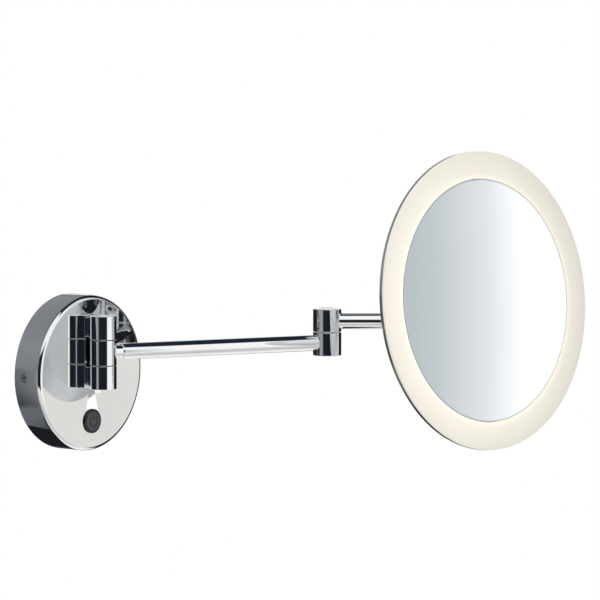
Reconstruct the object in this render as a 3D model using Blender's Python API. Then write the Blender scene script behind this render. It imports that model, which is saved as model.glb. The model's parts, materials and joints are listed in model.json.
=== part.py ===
"""Extendable shaving mirror: wall rose, two swivel arms and a tilting mirror with a lit ring.

Frame: metres, +Z up. The wall is the plane y = 0 and the object stands out of it towards -Y.
The origin is the centre of the wall plate's back face.
"""
import math

import bmesh
import bpy
from mathutils import Matrix, Vector

MM = 0.001

# ---- driving dimensions ----------------------------------------------------------------------

# wall rose and what it holds
ROSE_RADIUS = 58.7 * MM
ROSE_DEPTH = 25.0 * MM
ROSE_WALL = 1.8 * MM
ROSE_FACE = 2.5 * MM
ROSE_ROUNDING = 3.4 * MM
PLATE_THICKNESS = 2.0 * MM
PLATE_FLANGE = 16.0 * MM
PLATE_FIT = 0.4 * MM
CABLE_HOLE_RADIUS = 9.0 * MM
CABLE_HOLE_X = -24.0 * MM
CABLE_HOLE_Z = -12.0 * MM
WALL_SLOT_X = 43.0 * MM
WALL_SLOT_RADIUS = 2.3 * MM
WALL_SLOT_LENGTH = 10.0 * MM
SET_SCREW_RADIUS = 3.2 * MM
SET_SCREW_LENGTH = 6.0 * MM
SET_SCREW_DEPTH = 9.8 * MM
SET_SCREW_SOCKET = 3.0 * MM
SET_SCREW_SOCKET_DEPTH = 2.5 * MM
DRIVER_SIZE = (62.0 * MM, 16.0 * MM, 28.0 * MM)
DRIVER_Z = 25.0 * MM
DRIVER_ROUNDING = 2.0 * MM
TERMINAL_SIZE = (34.0 * MM, 12.5 * MM, 13.0 * MM)
TERMINAL_X = 9.0 * MM
TERMINAL_Z = -11.0 * MM
TERMINAL_PITCH = 10.0 * MM
TERMINAL_HOLE_RADIUS = 1.8 * MM
TERMINAL_HOLE_DEPTH = 3.0 * MM

# push switch in the rose's face
SWITCH_Z = -36.4 * MM
BEZEL_RADIUS = 9.15 * MM
BEZEL_HEIGHT = 1.1 * MM
BEZEL_RING = 1.5 * MM
BEZEL_CHAMFER = 0.4 * MM
SWITCH_BARREL_RADIUS = 8.3 * MM
SWITCH_BARREL_LENGTH = 10.5 * MM
SWITCH_NUT_ACROSS = 22.0 * MM
SWITCH_NUT_THICKNESS = 3.0 * MM
SWITCH_TERMINAL_LENGTH = 4.5 * MM
SWITCH_TERMINAL_SIZE = (0.8 * MM, 4.0 * MM, 3.0 * MM)
SWITCH_TERMINAL_X = 3.0 * MM
BUTTON_THICKNESS = 0.8 * MM
BUTTON_PROUD = 0.3 * MM
BUTTON_EDGE = 0.25 * MM
BUTTON_TRAVEL = 0.8 * MM
PLUNGER_RADIUS = 3.9 * MM
SYMBOL_RADIUS = 4.4 * MM
SYMBOL_LINE = 0.8 * MM
SYMBOL_DEPTH = 0.25 * MM
SYMBOL_OPENING = 35
SYMBOL_BAR = (0.3, 1.15)

# wall knuckle: two brackets on the rose with the inner arm's hub between them
KNUCKLE_STANDOFF = 11.3 * MM
KNUCKLE_Z = 16.4 * MM
KNUCKLE_RADIUS = 10.2 * MM
KNUCKLE_HUB = 18.8 * MM
KNUCKLE_BRACKET = 17.65 * MM
KNUCKLE_GAP = 0.5 * MM
POST_WIDTH = 9.0 * MM
POST_STEP = 1.5 * MM
POST_SCREW_RADIUS = 1.95 * MM
UPPER_SCREW_AT = 9.0 * MM
LOWER_SCREW_AT = 12.0 * MM
LEAD_CHANNEL_AT = 4.0 * MM
CAP_SURROUND = 2.2 * MM
PIN_TO_MIDDLE = 3.0 * MM

# arms
INNER_ARM = 185.5 * MM
OUTER_ARM = 91.9 * MM
TUBE_RADIUS = 6.075 * MM
TUBE_WALL = 1.0 * MM
NECK_LENGTH = 4.75 * MM
SPIGOT_LENGTH = 20.0 * MM
SPIGOT_FIT = 0.2 * MM
ARM_RISE = 16.4 * MM

# two-part knuckles at the elbow and the head
HUB_RADIUS = 10.9 * MM
HUB_WALL = 2.2 * MM
LOWER_HUB = 17.75 * MM
UPPER_HUB = 17.2 * MM
HUB_SEAM = 8.4 * MM
HUB_GAP = 0.8 * MM
HUB_WEB = 5.1 * MM
HUB_FLOOR = 3.3 * MM
HUB_CHAMFER = 0.4 * MM
CAP_THICKNESS = 1.5 * MM
CAP_LEDGE = 0.6 * MM

# pivots
PIN_RADIUS = 4.5 * MM
PIN_HEAD = 1.8 * MM
PIN_BORE = 1.8 * MM
THREAD_RADIUS = 3.4 * MM
THREAD_END = 0.9 * MM
BUSH_WALL = 1.7 * MM
NUT_ACROSS = 10.0 * MM
NUT_THICKNESS = 3.0 * MM
SPRING_WASHER = 1.0 * MM
THRUST_WASHER = 1.5 * MM
WASHER_RADIUS = 7.0 * MM

# tilt hinge behind the mirror
TILT_REACH = 19.5 * MM
STUB_RADIUS = 4.4 * MM
BARREL_RADIUS = 5.0 * MM
BARREL_WIDTH = 16.0 * MM
TILT_SCREW_RADIUS = 2.0 * MM
TILT_SCREW_GRIP = 5.0 * MM
TILT_HEAD_RADIUS = 4.2 * MM
TILT_HEAD_HEIGHT = 2.0 * MM
BUTTON_HEAD_EDGE = 0.6 * MM
TILT_SOCKET = 2.5 * MM
TILT_SOCKET_DEPTH = 1.2 * MM
TILT_WASHER = 0.6 * MM
EAR_THICKNESS = 3.5 * MM
EAR_GAP = 1.0 * MM
BRACKET_RADIUS = 23.0 * MM
BRACKET_PLATE = 2.2 * MM
BRACKET_CHAMFER = 0.6 * MM
BRACKET_SCREW_CIRCLE = 17.0 * MM
BRACKET_SCREW_RADIUS = 1.5 * MM

# mirror head
TILT_TO_PAN = 8.5 * MM
HEAD_RADIUS = 114.0 * MM
HEAD_DEPTH = 14.0 * MM
RIM_DEPTH = 4.4 * MM
PAN_SLOPE_WIDTH = 17.0 * MM
PAN_SHEET = 1.1 * MM
PAN_HOLE_RADIUS = 4.0 * MM
RING_WIDTH = 21.3 * MM
GLASS_THICKNESS = 4.0 * MM
GLASS_RECESS = 0.5 * MM
PAD_INSET = 12.7 * MM
PAD_THICKNESS = 1.0 * MM
CARRIER_SHEET = 1.5 * MM
CARRIER_RING = 1.4 * MM
BOSS_RADIUS = 3.6 * MM
DIFFUSER_THICKNESS = 3.0 * MM
DIFFUSER_LIP = 1.3 * MM
DIFFUSER_BEVEL = 0.6 * MM
LED_BOARD_CLEARANCE = 1.2 * MM
LED_BOARD_WIDTH = 7.0 * MM
LED_BOARD_THICKNESS = 1.0 * MM
LED_COUNT = 30
LED_SIZE = 2.8 * MM
LED_HEIGHT = 0.7 * MM

# low-voltage lead inside the arms
LEAD_RADIUS = 1.0 * MM
CHANNEL_RADIUS = 2.6 * MM
LEAD_IN_NUT = 3.9 * MM
LEAD_SLOT = 3.4 * MM
LEAD_TILT_GAP = 0.8 * MM

# pan-head screws, as shares of the thread's radius; the crown's top is a share of the head's
HEAD_RATIO = 1.9
HEAD_EDGE = 0.85
HEAD_CROWN = 0.4
CROWN_RATIO = 0.7
RECESS_FLOOR = 0.6
RECESS_WIDTH = 0.25

# fits
GAP = 0.3 * MM
RUNNING_FIT = 0.15 * MM
OVERCUT = 1.0 * MM
SMALL_CHAMFER = 0.3 * MM

# pose: each arm's direction from straight out of the wall (-Y) towards +X, and the mirror's tilt
INNER_ARM_TURN = math.radians(62.7)
OUTER_ARM_TURN = math.radians(38.9)
MIRROR_TURN = math.radians(-6.6)
MIRROR_TILT = math.radians(6.2)

# facets
LARGE = 56
MEDIUM = 24
TUBE = 20
SMALL = 12
ROD_PHASE = 0.31

# ---- places that follow from the driving dimensions ------------------------------------------

KNUCKLE_Y = -(ROSE_DEPTH + KNUCKLE_STANDOFF)
FACE_BACK_Y = -(ROSE_DEPTH - ROSE_FACE)
PLATE_RADIUS = ROSE_RADIUS - ROSE_WALL - PLATE_FIT
BRACKET_START = KNUCKLE_HUB / 2 + KNUCKLE_GAP
PIN_HOLE = PIN_RADIUS + RUNNING_FIT
WASHER_RECESS = (THRUST_WASHER + 2 * GAP - KNUCKLE_GAP) / 2
SPIGOT_RADIUS = TUBE_RADIUS - TUBE_WALL - SPIGOT_FIT
TUBE_START = KNUCKLE_RADIUS + NECK_LENGTH
LOWER_TOP = HUB_SEAM - HUB_GAP / 2
LOWER_BOTTOM = LOWER_TOP - LOWER_HUB
WEB_UNDERSIDE = LOWER_TOP - HUB_WEB
UPPER_BOTTOM = HUB_SEAM + HUB_GAP / 2 - ARM_RISE
UPPER_TOP = UPPER_BOTTOM + UPPER_HUB
CAVITY_RADIUS = HUB_RADIUS - HUB_WALL
CAP_RECESS = CAP_THICKNESS + GAP
PAN_BACK_Y = -TILT_TO_PAN
PAN_BACK_RADIUS = HEAD_RADIUS - PAN_SLOPE_WIDTH
GLASS_RADIUS = HEAD_RADIUS - RING_WIDTH
PAD_RADIUS = GLASS_RADIUS - PAD_INSET
HEAD_FRONT_Y = PAN_BACK_Y - HEAD_DEPTH
PAN_FLOOR_Y = PAN_BACK_Y - PAN_SHEET
GLASS_FRONT_Y = HEAD_FRONT_Y + GLASS_RECESS
GLASS_BACK_Y = GLASS_FRONT_Y + GLASS_THICKNESS
CARRIER_FRONT_Y = GLASS_BACK_Y + GAP + PAD_THICKNESS + GAP
CARRIER_BACK_Y = CARRIER_FRONT_Y + CARRIER_SHEET
DIFFUSER_BACK_Y = HEAD_FRONT_Y + DIFFUSER_THICKNESS
PAN_FRONT_Y = HEAD_FRONT_Y + DIFFUSER_LIP + GAP
DIFFUSER_INNER = GLASS_RADIUS + GAP
CARRIER_RADIUS = DIFFUSER_INNER + CARRIER_RING
SET_HOLE_RADIUS = SET_SCREW_RADIUS + GAP
EAR_INNER = BARREL_WIDTH / 2 + EAR_GAP
TILT_HOLE_RADIUS = TILT_SCREW_RADIUS + RUNNING_FIT


# ---- helpers ---------------------------------------------------------------------------------

TO_AXIS = {
    "X": Matrix.Rotation(math.pi / 2, 4, "Y"),
    "Y": Matrix.Rotation(-math.pi / 2, 4, "X"),
    "Z": Matrix.Identity(4),
}


def finish(name, color, roughness, metallic):
    """A Principled material with one colour, roughness and metallic value."""
    made = bpy.data.materials.new(name)
    made.use_nodes = True
    shader = made.node_tree.nodes["Principled BSDF"]
    shader.inputs["Base Color"].default_value = (*color, 1.0)
    shader.inputs["Roughness"].default_value = roughness
    shader.inputs["Metallic"].default_value = metallic
    return made


def frame_at(name, location, turn, parent=None):
    """An empty on a joint's axis. turn is the rotation in X, Y and Z."""
    empty = bpy.data.objects.new(name, None)
    empty.location = location
    empty.rotation_euler = turn
    empty.parent = parent
    bpy.context.collection.objects.link(empty)
    return empty


def mesh_object(name, shape, parent):
    bmesh.ops.recalc_face_normals(shape, faces=shape.faces)
    mesh = bpy.data.meshes.new(name)
    shape.to_mesh(mesh)
    shape.free()
    made = bpy.data.objects.new(name, mesh)
    made.parent = parent
    bpy.context.collection.objects.link(made)
    return made


def piece(name, shape, material, parent=None):
    """One physical piece: a closed shape in its parent's frame, with its material."""
    made = mesh_object(name, shape, parent)
    made.data.materials.append(material)
    made.data.shade_smooth()
    made.data.set_sharp_from_angle(angle=math.radians(35))
    return made


def boolean(body, shape, operation):
    """Join a helper shape to a piece, or cut it away. The helper isn't part of the object."""
    count = len(body.modifiers) + 1
    helper = mesh_object(f"{body.name}_helper_{count}", shape, body.parent)
    helper.hide_render = True
    helper.display_type = "WIRE"
    modifier = body.modifiers.new(f"{operation.lower()}_{count}", "BOOLEAN")
    modifier.operation = operation
    modifier.solver = "EXACT"
    modifier.object = helper
    weld = body.modifiers.get("weld") or body.modifiers.new("weld", "WELD")
    weld.merge_threshold = 0.001 * MM
    body.modifiers.move(body.modifiers.find("weld"), len(body.modifiers) - 1)


def add(body, *shapes):
    for shape in shapes:
        boolean(body, shape, "UNION")


def cut(body, *shapes):
    for shape in shapes:
        boolean(body, shape, "DIFFERENCE")


def turned(profile, axis="Z", centre=(0, 0, 0), segments=MEDIUM, phase=0.0):
    """Turn (radius, height) points about an axis. Points on the axis close the ends.

    phase turns the facets by a part of one step, so that two shapes' corners don't line up.
    """
    shape = bmesh.new()
    place = Matrix.Translation(centre) @ TO_AXIS[axis]
    rings = []
    for radius, height in profile:
        count = segments if radius > 0 else 1
        angles = [2 * math.pi * (i + phase) / count for i in range(count)]
        points = [(radius * math.cos(a), radius * math.sin(a), height) for a in angles]
        rings.append([shape.verts.new(place @ Vector(p)) for p in points])
    pairs = list(zip(rings, rings[1:]))
    if profile[0][0] > 0:
        pairs.append((rings[-1], rings[0]))
    for first, second in pairs:
        for i in range(segments):
            j = (i + 1) % segments
            corners = [first[i % len(first)], first[j % len(first)]]
            corners += [second[j % len(second)], second[i % len(second)]]
            shape.faces.new(list(dict.fromkeys(corners)))
    return shape


def arc(centre_radius, centre_height, radius, start, end, steps=4):
    """(radius, height) points of a rounding in a turned profile, between two angles in degrees."""
    angles = [math.radians(start + (end - start) * i / steps) for i in range(steps + 1)]
    return [(centre_radius + radius * math.cos(a), centre_height + radius * math.sin(a)) for a in angles]


def rod(radius, start, end, axis="Z", centre=(0, 0, 0), segments=SMALL, chamfer=0.0):
    """A cylinder from start to end along an axis."""
    low, high = sorted((start, end))
    profile = [(0, low), (radius - chamfer, low), (radius, low + chamfer)]
    profile += [(radius, high - chamfer), (radius - chamfer, high), (0, high)]
    if not chamfer:
        profile = [(0, low), (radius, low), (radius, high), (0, high)]
    return turned(profile, axis, centre, segments, ROD_PHASE)


def ring(inner, outer, start, end, axis="Z", centre=(0, 0, 0), segments=SMALL):
    return turned([(inner, start), (outer, start), (outer, end), (inner, end)], axis, centre, segments)


def block(low, high):
    """A box between two corners."""
    shape = bmesh.new()
    bmesh.ops.create_cube(shape, size=1.0)
    low, high = Vector(low), Vector(high)
    for vert in shape.verts:
        vert.co = Vector((low[k] + (vert.co[k] + 0.5) * (high[k] - low[k])) for k in range(3))
    return shape


def prism(outline, start, end, axis="Z", centre=(0, 0, 0)):
    """Extrude a closed outline along an axis."""
    shape = bmesh.new()
    place = Matrix.Translation(centre) @ TO_AXIS[axis]
    low = [shape.verts.new(place @ Vector((u, v, start))) for u, v in outline]
    high = [shape.verts.new(place @ Vector((u, v, end))) for u, v in outline]
    shape.faces.new(low)
    shape.faces.new(high)
    for i in range(len(outline)):
        j = (i + 1) % len(outline)
        shape.faces.new((low[i], low[j], high[j], high[i]))
    return shape


def hexagon(across_flats):
    radius = across_flats / 2 / math.cos(math.pi / 6)
    return [(radius * math.cos(math.pi * i / 3), radius * math.sin(math.pi * i / 3)) for i in range(6)]


def smooth_route(points, steps=2):
    """Points along a smooth curve through a route's own points."""
    route = [Vector(p) for p in points]
    ends = [2 * route[0] - route[1], *route, 2 * route[-1] - route[-2]]
    line = []
    for a, b, c, d in zip(ends, ends[1:], ends[2:], ends[3:]):
        square, cube = 2 * a - 5 * b + 4 * c - d, 3 * b - a - 3 * c + d
        for step in range(steps):
            t = step / steps
            line.append(b + 0.5 * ((c - a) * t + square * t**2 + cube * t**3))
    return line + [route[-1]]


def lead(name, points, material, parent=None):
    """A round lead through the given points, with closed ends."""
    curve = bpy.data.curves.new(name, "CURVE")
    curve.dimensions = "3D"
    curve.bevel_depth = LEAD_RADIUS
    curve.bevel_resolution = 2
    curve.use_fill_caps = True
    line = smooth_route(points)
    spline = curve.splines.new("POLY")
    spline.points.add(len(line) - 1)
    for target, point in zip(spline.points, line):
        target.co = (*point, 1.0)
    curve.materials.append(material)
    made = bpy.data.objects.new(name, curve)
    made.parent = parent
    bpy.context.collection.objects.link(made)
    return made


# ---- wall unit -------------------------------------------------------------------------------


def wall_plate(steel):
    flange_inner = PLATE_RADIUS - PLATE_THICKNESS
    profile = [(0, 0), (PLATE_RADIUS, 0), (PLATE_RADIUS, -PLATE_FLANGE), (flange_inner, -PLATE_FLANGE)]
    profile += [(flange_inner, -PLATE_THICKNESS), (0, -PLATE_THICKNESS)]
    plate = piece("wall_plate", turned(profile, "Y", segments=LARGE), steel)
    centre = (CABLE_HOLE_X, 0, CABLE_HOLE_Z)
    cut(plate, rod(CABLE_HOLE_RADIUS, -PLATE_THICKNESS - OVERCUT, OVERCUT, "Y", centre, MEDIUM))
    half = WALL_SLOT_LENGTH / 2 - WALL_SLOT_RADIUS
    for side in (-1, 1):
        outline = []
        for end in (1, -1):
            for step in range(9):
                angle = math.pi * (step / 8 - 0.5) + (0 if end > 0 else math.pi)
                u = end * half + WALL_SLOT_RADIUS * math.cos(angle)
                outline.append((u, WALL_SLOT_RADIUS * math.sin(angle)))
        cut(plate, prism(outline, -PLATE_THICKNESS - OVERCUT, OVERCUT, "Y", (side * WALL_SLOT_X, 0, 0)))
        hole_start = side * (flange_inner - OVERCUT)
        hole_end = side * (PLATE_RADIUS + OVERCUT)
        cut(plate, rod(SET_HOLE_RADIUS, hole_start, hole_end, "X", (0, -SET_SCREW_DEPTH, 0)))


def rose_cover(chrome):
    inner = ROSE_RADIUS - ROSE_WALL
    rounding_centre = (ROSE_RADIUS - ROSE_ROUNDING, -ROSE_DEPTH + ROSE_ROUNDING)
    profile = [(0, -ROSE_DEPTH)] + arc(*rounding_centre, ROSE_ROUNDING, -90, 0)
    profile += [(ROSE_RADIUS, 0), (inner, 0), (inner, FACE_BACK_Y), (0, FACE_BACK_Y)]
    cover = piece("rose_cover", turned(profile, "Y", segments=LARGE), chrome)
    face = (-ROSE_DEPTH - OVERCUT, FACE_BACK_Y + OVERCUT)
    cut(cover, rod(SWITCH_BARREL_RADIUS + GAP, *face, "Y", (0, 0, SWITCH_Z), MEDIUM))
    for z in (upper_screw_z(), lower_screw_z()):
        cut(cover, rod(POST_SCREW_RADIUS + GAP, *face, "Y", (0, 0, z)))
    cut(cover, rod(LEAD_RADIUS + 2 * GAP, *face, "Y", (0, 0, lead_channel_z())))
    for side in (-1, 1):
        start, end = side * (inner - OVERCUT), side * (ROSE_RADIUS + OVERCUT)
        cut(cover, rod(SET_HOLE_RADIUS, start, end, "X", (0, -SET_SCREW_DEPTH, 0)))


def cover_screws(steel):
    """Hexagon socket set screws that lock the cover to the plate's flange."""
    outer = ROSE_RADIUS - GAP
    for name, side in (("cover_screw_left", -1), ("cover_screw_right", 1)):
        centre = (0, -SET_SCREW_DEPTH, 0)
        tip = outer - SET_SCREW_LENGTH
        body = rod(SET_SCREW_RADIUS, side * tip, side * outer, "X", centre, SMALL, SMALL_CHAMFER)
        screw = piece(name, body, steel)
        socket_floor = side * (outer - SET_SCREW_SOCKET_DEPTH)
        cut(screw, prism(hexagon(SET_SCREW_SOCKET), socket_floor, side * (outer + OVERCUT), "X", centre))


def upper_screw_z():
    return KNUCKLE_Z + BRACKET_START + UPPER_SCREW_AT


def lower_screw_z():
    return KNUCKLE_Z - BRACKET_START - LOWER_SCREW_AT


def lead_channel_z():
    return KNUCKLE_Z - BRACKET_START - LEAD_CHANNEL_AT


def knuckle_bracket(name, side, screw_z, chrome):
    """One of the rose's two knuckle segments. side is 1 above the arm's hub and -1 below it."""
    centre = (0, KNUCKLE_Y, KNUCKLE_Z + side * BRACKET_START)
    height = KNUCKLE_BRACKET
    body = rod(KNUCKLE_RADIUS, 0, side * height, "Z", centre, MEDIUM, HUB_CHAMFER)
    bracket = piece(name, body, chrome)
    post_ends = sorted(centre[2] + side * h for h in (POST_STEP, height - POST_STEP))
    low = (-POST_WIDTH / 2, KNUCKLE_Y, post_ends[0])
    add(bracket, block(low, (POST_WIDTH / 2, -ROSE_DEPTH - GAP, post_ends[1])))
    cap_seat = height - CAP_RECESS
    head_seat = cap_seat - PIN_HEAD - GAP
    steps = [(0, -OVERCUT), (WASHER_RADIUS + GAP, -OVERCUT), (WASHER_RADIUS + GAP, WASHER_RECESS)]
    steps += [(PIN_HOLE, WASHER_RECESS), (PIN_HOLE, head_seat), (WASHER_RADIUS, head_seat)]
    steps += [(WASHER_RADIUS, cap_seat), (cap_radius() + GAP, cap_seat)]
    steps += [(cap_radius() + GAP, height + OVERCUT), (0, height + OVERCUT)]
    cut(bracket, turned([(r, side * h) for r, h in steps], "Z", centre, TUBE))
    hole_end = KNUCKLE_Y + PIN_HOLE + 2 * GAP
    cut(bracket, rod(POST_SCREW_RADIUS + GAP, hole_end, -ROSE_DEPTH, "Y", (0, 0, screw_z)))
    if side < 0:
        cut(bracket, rod(LEAD_RADIUS + 2 * GAP, KNUCKLE_Y, -ROSE_DEPTH, "Y", (0, 0, lead_channel_z())))


def cap_radius():
    return KNUCKLE_RADIUS - CAP_SURROUND


def pan_head_screw(name, radius, tip, seat, x, z, material, parent=None):
    """A cross-recessed screw along Y: its tip at the front, and its head's seat at y = seat."""
    head = HEAD_RATIO * radius
    edge_end = seat + HEAD_EDGE * radius
    top = edge_end + HEAD_CROWN * radius
    profile = [(0, tip), (radius, tip), (radius, seat), (head, seat), (head, edge_end)]
    profile += [(CROWN_RATIO * head, top), (0, top)]
    screw = piece(name, turned(profile, "Y", (x, 0, z), SMALL), material, parent)
    floor = seat + RECESS_FLOOR * radius
    length, width = radius, RECESS_WIDTH * radius
    for half_x, half_z in ((width, length), (length, width)):
        cut(screw, block((x - half_x, floor, z - half_z), (x + half_x, top + OVERCUT, z + half_z)))


def wall_pin(name, side, steel):
    """A stub pin through one bracket into the arm's hub, leaving the hub's middle free."""
    centre = (0, KNUCKLE_Y, KNUCKLE_Z + side * BRACKET_START)
    head_top = KNUCKLE_BRACKET - CAP_RECESS - GAP
    head_seat = head_top - PIN_HEAD + GAP
    tip = -(KNUCKLE_GAP + KNUCKLE_HUB / 2 - PIN_TO_MIDDLE)
    profile = [(0, tip), (PIN_RADIUS, tip), (PIN_RADIUS, head_seat), (WASHER_RADIUS - GAP, head_seat)]
    profile += [(WASHER_RADIUS - GAP, head_top), (0, head_top)]
    pin = piece(name, turned([(r, side * h) for r, h in profile], "Z", centre, TUBE), steel)
    if side < 0:
        hollow = LEAD_CHANNEL_AT + CHANNEL_RADIUS
        cut(pin, rod(PIN_BORE, -hollow, -tip + OVERCUT, "Z", centre))
        side_hole = (0, 0, lead_channel_z())
        cut(pin, rod(LEAD_RADIUS + 2 * GAP, KNUCKLE_Y, KNUCKLE_Y + 2 * PIN_RADIUS, "Y", side_hole))


def wall_knuckle(chrome, steel, nylon):
    for name, side, screw_z in (("upper", 1, upper_screw_z()), ("lower", -1, lower_screw_z())):
        knuckle_bracket(f"wall_knuckle_{name}", side, screw_z, chrome)
        tip = KNUCKLE_Y + PIN_HOLE + 4 * GAP
        pan_head_screw(f"knuckle_screw_{name}", POST_SCREW_RADIUS, tip, FACE_BACK_Y + GAP, 0, screw_z, steel)
        wall_pin(f"wall_pin_{name}", side, steel)
        centre = (0, KNUCKLE_Y, KNUCKLE_Z + side * BRACKET_START)
        cap_ends = (side * (KNUCKLE_BRACKET - CAP_THICKNESS), side * KNUCKLE_BRACKET)
        piece(f"knuckle_cap_{name}", rod(cap_radius(), *cap_ends, "Z", centre, TUBE), chrome)
        middle = -side * KNUCKLE_GAP / 2
        faces = (middle - THRUST_WASHER / 2, middle + THRUST_WASHER / 2)
        washer = ring(PIN_HOLE + GAP / 2, WASHER_RADIUS, *faces, "Z", centre, TUBE)
        piece(f"wall_washer_{name}", washer, nylon)


def box_on_plate(size, x, z):
    """A box standing on the wall plate, centred at x and z."""
    half_x, depth, half_z = size[0] / 2, size[1], size[2] / 2
    back = -PLATE_THICKNESS - GAP
    return block((x - half_x, back - depth, z - half_z), (x + half_x, back, z + half_z))


def electrics(white_plastic, grey_plastic, wire):
    """What the rose holds: the LED driver, the mains terminal and the lead to the arm."""
    driver = piece("led_driver", box_on_plate(DRIVER_SIZE, 0, DRIVER_Z), white_plastic)
    rounding = driver.modifiers.new("rounding", "BEVEL")
    rounding.width = DRIVER_ROUNDING
    rounding.segments = 2
    terminal = piece("terminal_block", box_on_plate(TERMINAL_SIZE, TERMINAL_X, TERMINAL_Z), grey_plastic)
    front = -PLATE_THICKNESS - GAP - TERMINAL_SIZE[1]
    for step in (-1, 0, 1):
        centre = (TERMINAL_X + step * TERMINAL_PITCH, 0, TERMINAL_Z)
        cut(terminal, rod(TERMINAL_HOLE_RADIUS, front - OVERCUT, front + TERMINAL_HOLE_DEPTH, "Y", centre))
    driver_bottom = DRIVER_Z - DRIVER_SIZE[2] / 2
    z = lead_channel_z()
    route = [(9 * MM, -12 * MM, driver_bottom - GAP), (8 * MM, -13 * MM, z + 3 * MM), (4 * MM, -16 * MM, z)]
    route += [(0.4 * MM, -20 * MM, z), (0, -ROSE_DEPTH, z), (0, KNUCKLE_Y + 4 * MM, z)]
    route += [(0, KNUCKLE_Y + 1.3 * MM, z + 0.3 * MM), (0, KNUCKLE_Y + 0.1 * MM, z + 1.8 * MM)]
    route += [(0, KNUCKLE_Y, z + 5 * MM), (0, KNUCKLE_Y, KNUCKLE_Z - PIN_TO_MIDDLE)]
    lead("wall_lead", route, wire)


def push_switch(black, button_frame, steel, grey_plastic):
    centre = (0, 0, SWITCH_Z)
    seat = -ROSE_DEPTH - GAP
    front = seat - BEZEL_HEIGHT
    recess = BEZEL_RADIUS - BEZEL_RING
    recess_floor = front - BUTTON_PROUD + BUTTON_THICKNESS + BUTTON_TRAVEL + GAP
    barrel_end = seat + SWITCH_BARREL_LENGTH
    bore = PLUNGER_RADIUS + GAP
    profile = [(bore, barrel_end), (SWITCH_BARREL_RADIUS, barrel_end), (SWITCH_BARREL_RADIUS, seat)]
    profile += [(BEZEL_RADIUS, seat), (BEZEL_RADIUS, front + BEZEL_CHAMFER)]
    profile += [(BEZEL_RADIUS - BEZEL_CHAMFER, front), (recess, front)]
    profile += [(recess, recess_floor), (bore, recess_floor)]
    piece("switch_bezel", turned(profile, "Y", centre, MEDIUM), black)
    switch_nut(centre, steel)
    body_front = barrel_end + GAP
    body_back = -PLATE_THICKNESS - SWITCH_TERMINAL_LENGTH
    barrel = rod(SWITCH_BARREL_RADIUS, body_front, body_back, "Y", centre, MEDIUM)
    body = piece("switch_body", barrel, grey_plastic)
    width, depth, height = (size / 2 for size in SWITCH_TERMINAL_SIZE)
    for x in (-SWITCH_TERMINAL_X, SWITCH_TERMINAL_X):
        low = (x - width, body_back - depth, SWITCH_Z - height)
        add(body, block(low, (x + width, body_back + depth, SWITCH_Z + height)))
    switch_button(front, barrel_end, recess, black, button_frame)


def switch_nut(centre, steel):
    """The hexagon nut that clamps the switch to the cover from inside."""
    front = FACE_BACK_Y + GAP
    back = front + SWITCH_NUT_THICKNESS
    nut = piece("switch_nut", prism(hexagon(SWITCH_NUT_ACROSS), front, back, "Y", centre), steel)
    cut(nut, rod(SWITCH_BARREL_RADIUS + GAP, front - OVERCUT, back + OVERCUT, "Y", centre, MEDIUM))


def power_symbol():
    """Outline of the broken ring of a power symbol, open at the top."""
    outer, inner = SYMBOL_RADIUS, SYMBOL_RADIUS - SYMBOL_LINE
    steps = 20
    angles = [math.radians(SYMBOL_OPENING + (360 - 2 * SYMBOL_OPENING) * i / steps) for i in range(steps + 1)]
    outline = [(outer * math.sin(a), -outer * math.cos(a)) for a in angles]
    return outline + [(inner * math.sin(a), -inner * math.cos(a)) for a in reversed(angles)]


def switch_button(bezel_front, barrel_end, recess, black, button_frame):
    """The moving cap on its plunger, in the button's own frame on its sliding axis."""
    origin = button_frame.location.y
    front = bezel_front - BUTTON_PROUD - origin
    back = front + BUTTON_THICKNESS
    tip = barrel_end - origin - BUTTON_TRAVEL - GAP
    radius = recess - RUNNING_FIT
    profile = [(0, front), (radius - BUTTON_EDGE, front), (radius, front + BUTTON_EDGE), (radius, back)]
    profile += [(PLUNGER_RADIUS, back), (PLUNGER_RADIUS, tip), (0, tip)]
    button = piece("switch_button", turned(profile, "Y", segments=MEDIUM), black, button_frame)
    floor = front + SYMBOL_DEPTH
    cut(button, prism(power_symbol(), front - OVERCUT, floor, "Y"))
    half = SYMBOL_LINE / 2
    bar = (SYMBOL_BAR[0] * SYMBOL_RADIUS, SYMBOL_BAR[1] * SYMBOL_RADIUS)
    cut(button, block((-half, front - OVERCUT, bar[0]), (half, floor, bar[1])))


# ---- arms ------------------------------------------------------------------------------------


def inner_hub(chrome, arm):
    body = rod(KNUCKLE_RADIUS, -KNUCKLE_HUB / 2, KNUCKLE_HUB / 2, "Z", (0, 0, 0), MEDIUM, HUB_CHAMFER)
    hub = piece("inner_hub", body, chrome, arm)
    spigot_end = -(TUBE_START + SPIGOT_LENGTH)
    add(hub, rod(SPIGOT_RADIUS, spigot_end, -WASHER_RADIUS, "Y", segments=TUBE, chamfer=HUB_CHAMFER))
    end = KNUCKLE_HUB / 2
    recess = end - WASHER_RECESS
    wide = WASHER_RADIUS + GAP
    steps = [(0, -end - OVERCUT), (wide, -end - OVERCUT), (wide, -recess), (PIN_HOLE, -recess)]
    steps += [(PIN_HOLE, recess), (wide, recess), (wide, end + OVERCUT), (0, end + OVERCUT)]
    cut(hub, turned(steps, segments=TUBE))
    cut(hub, rod(CHANNEL_RADIUS, spigot_end - OVERCUT, 0, "Y"))


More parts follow.
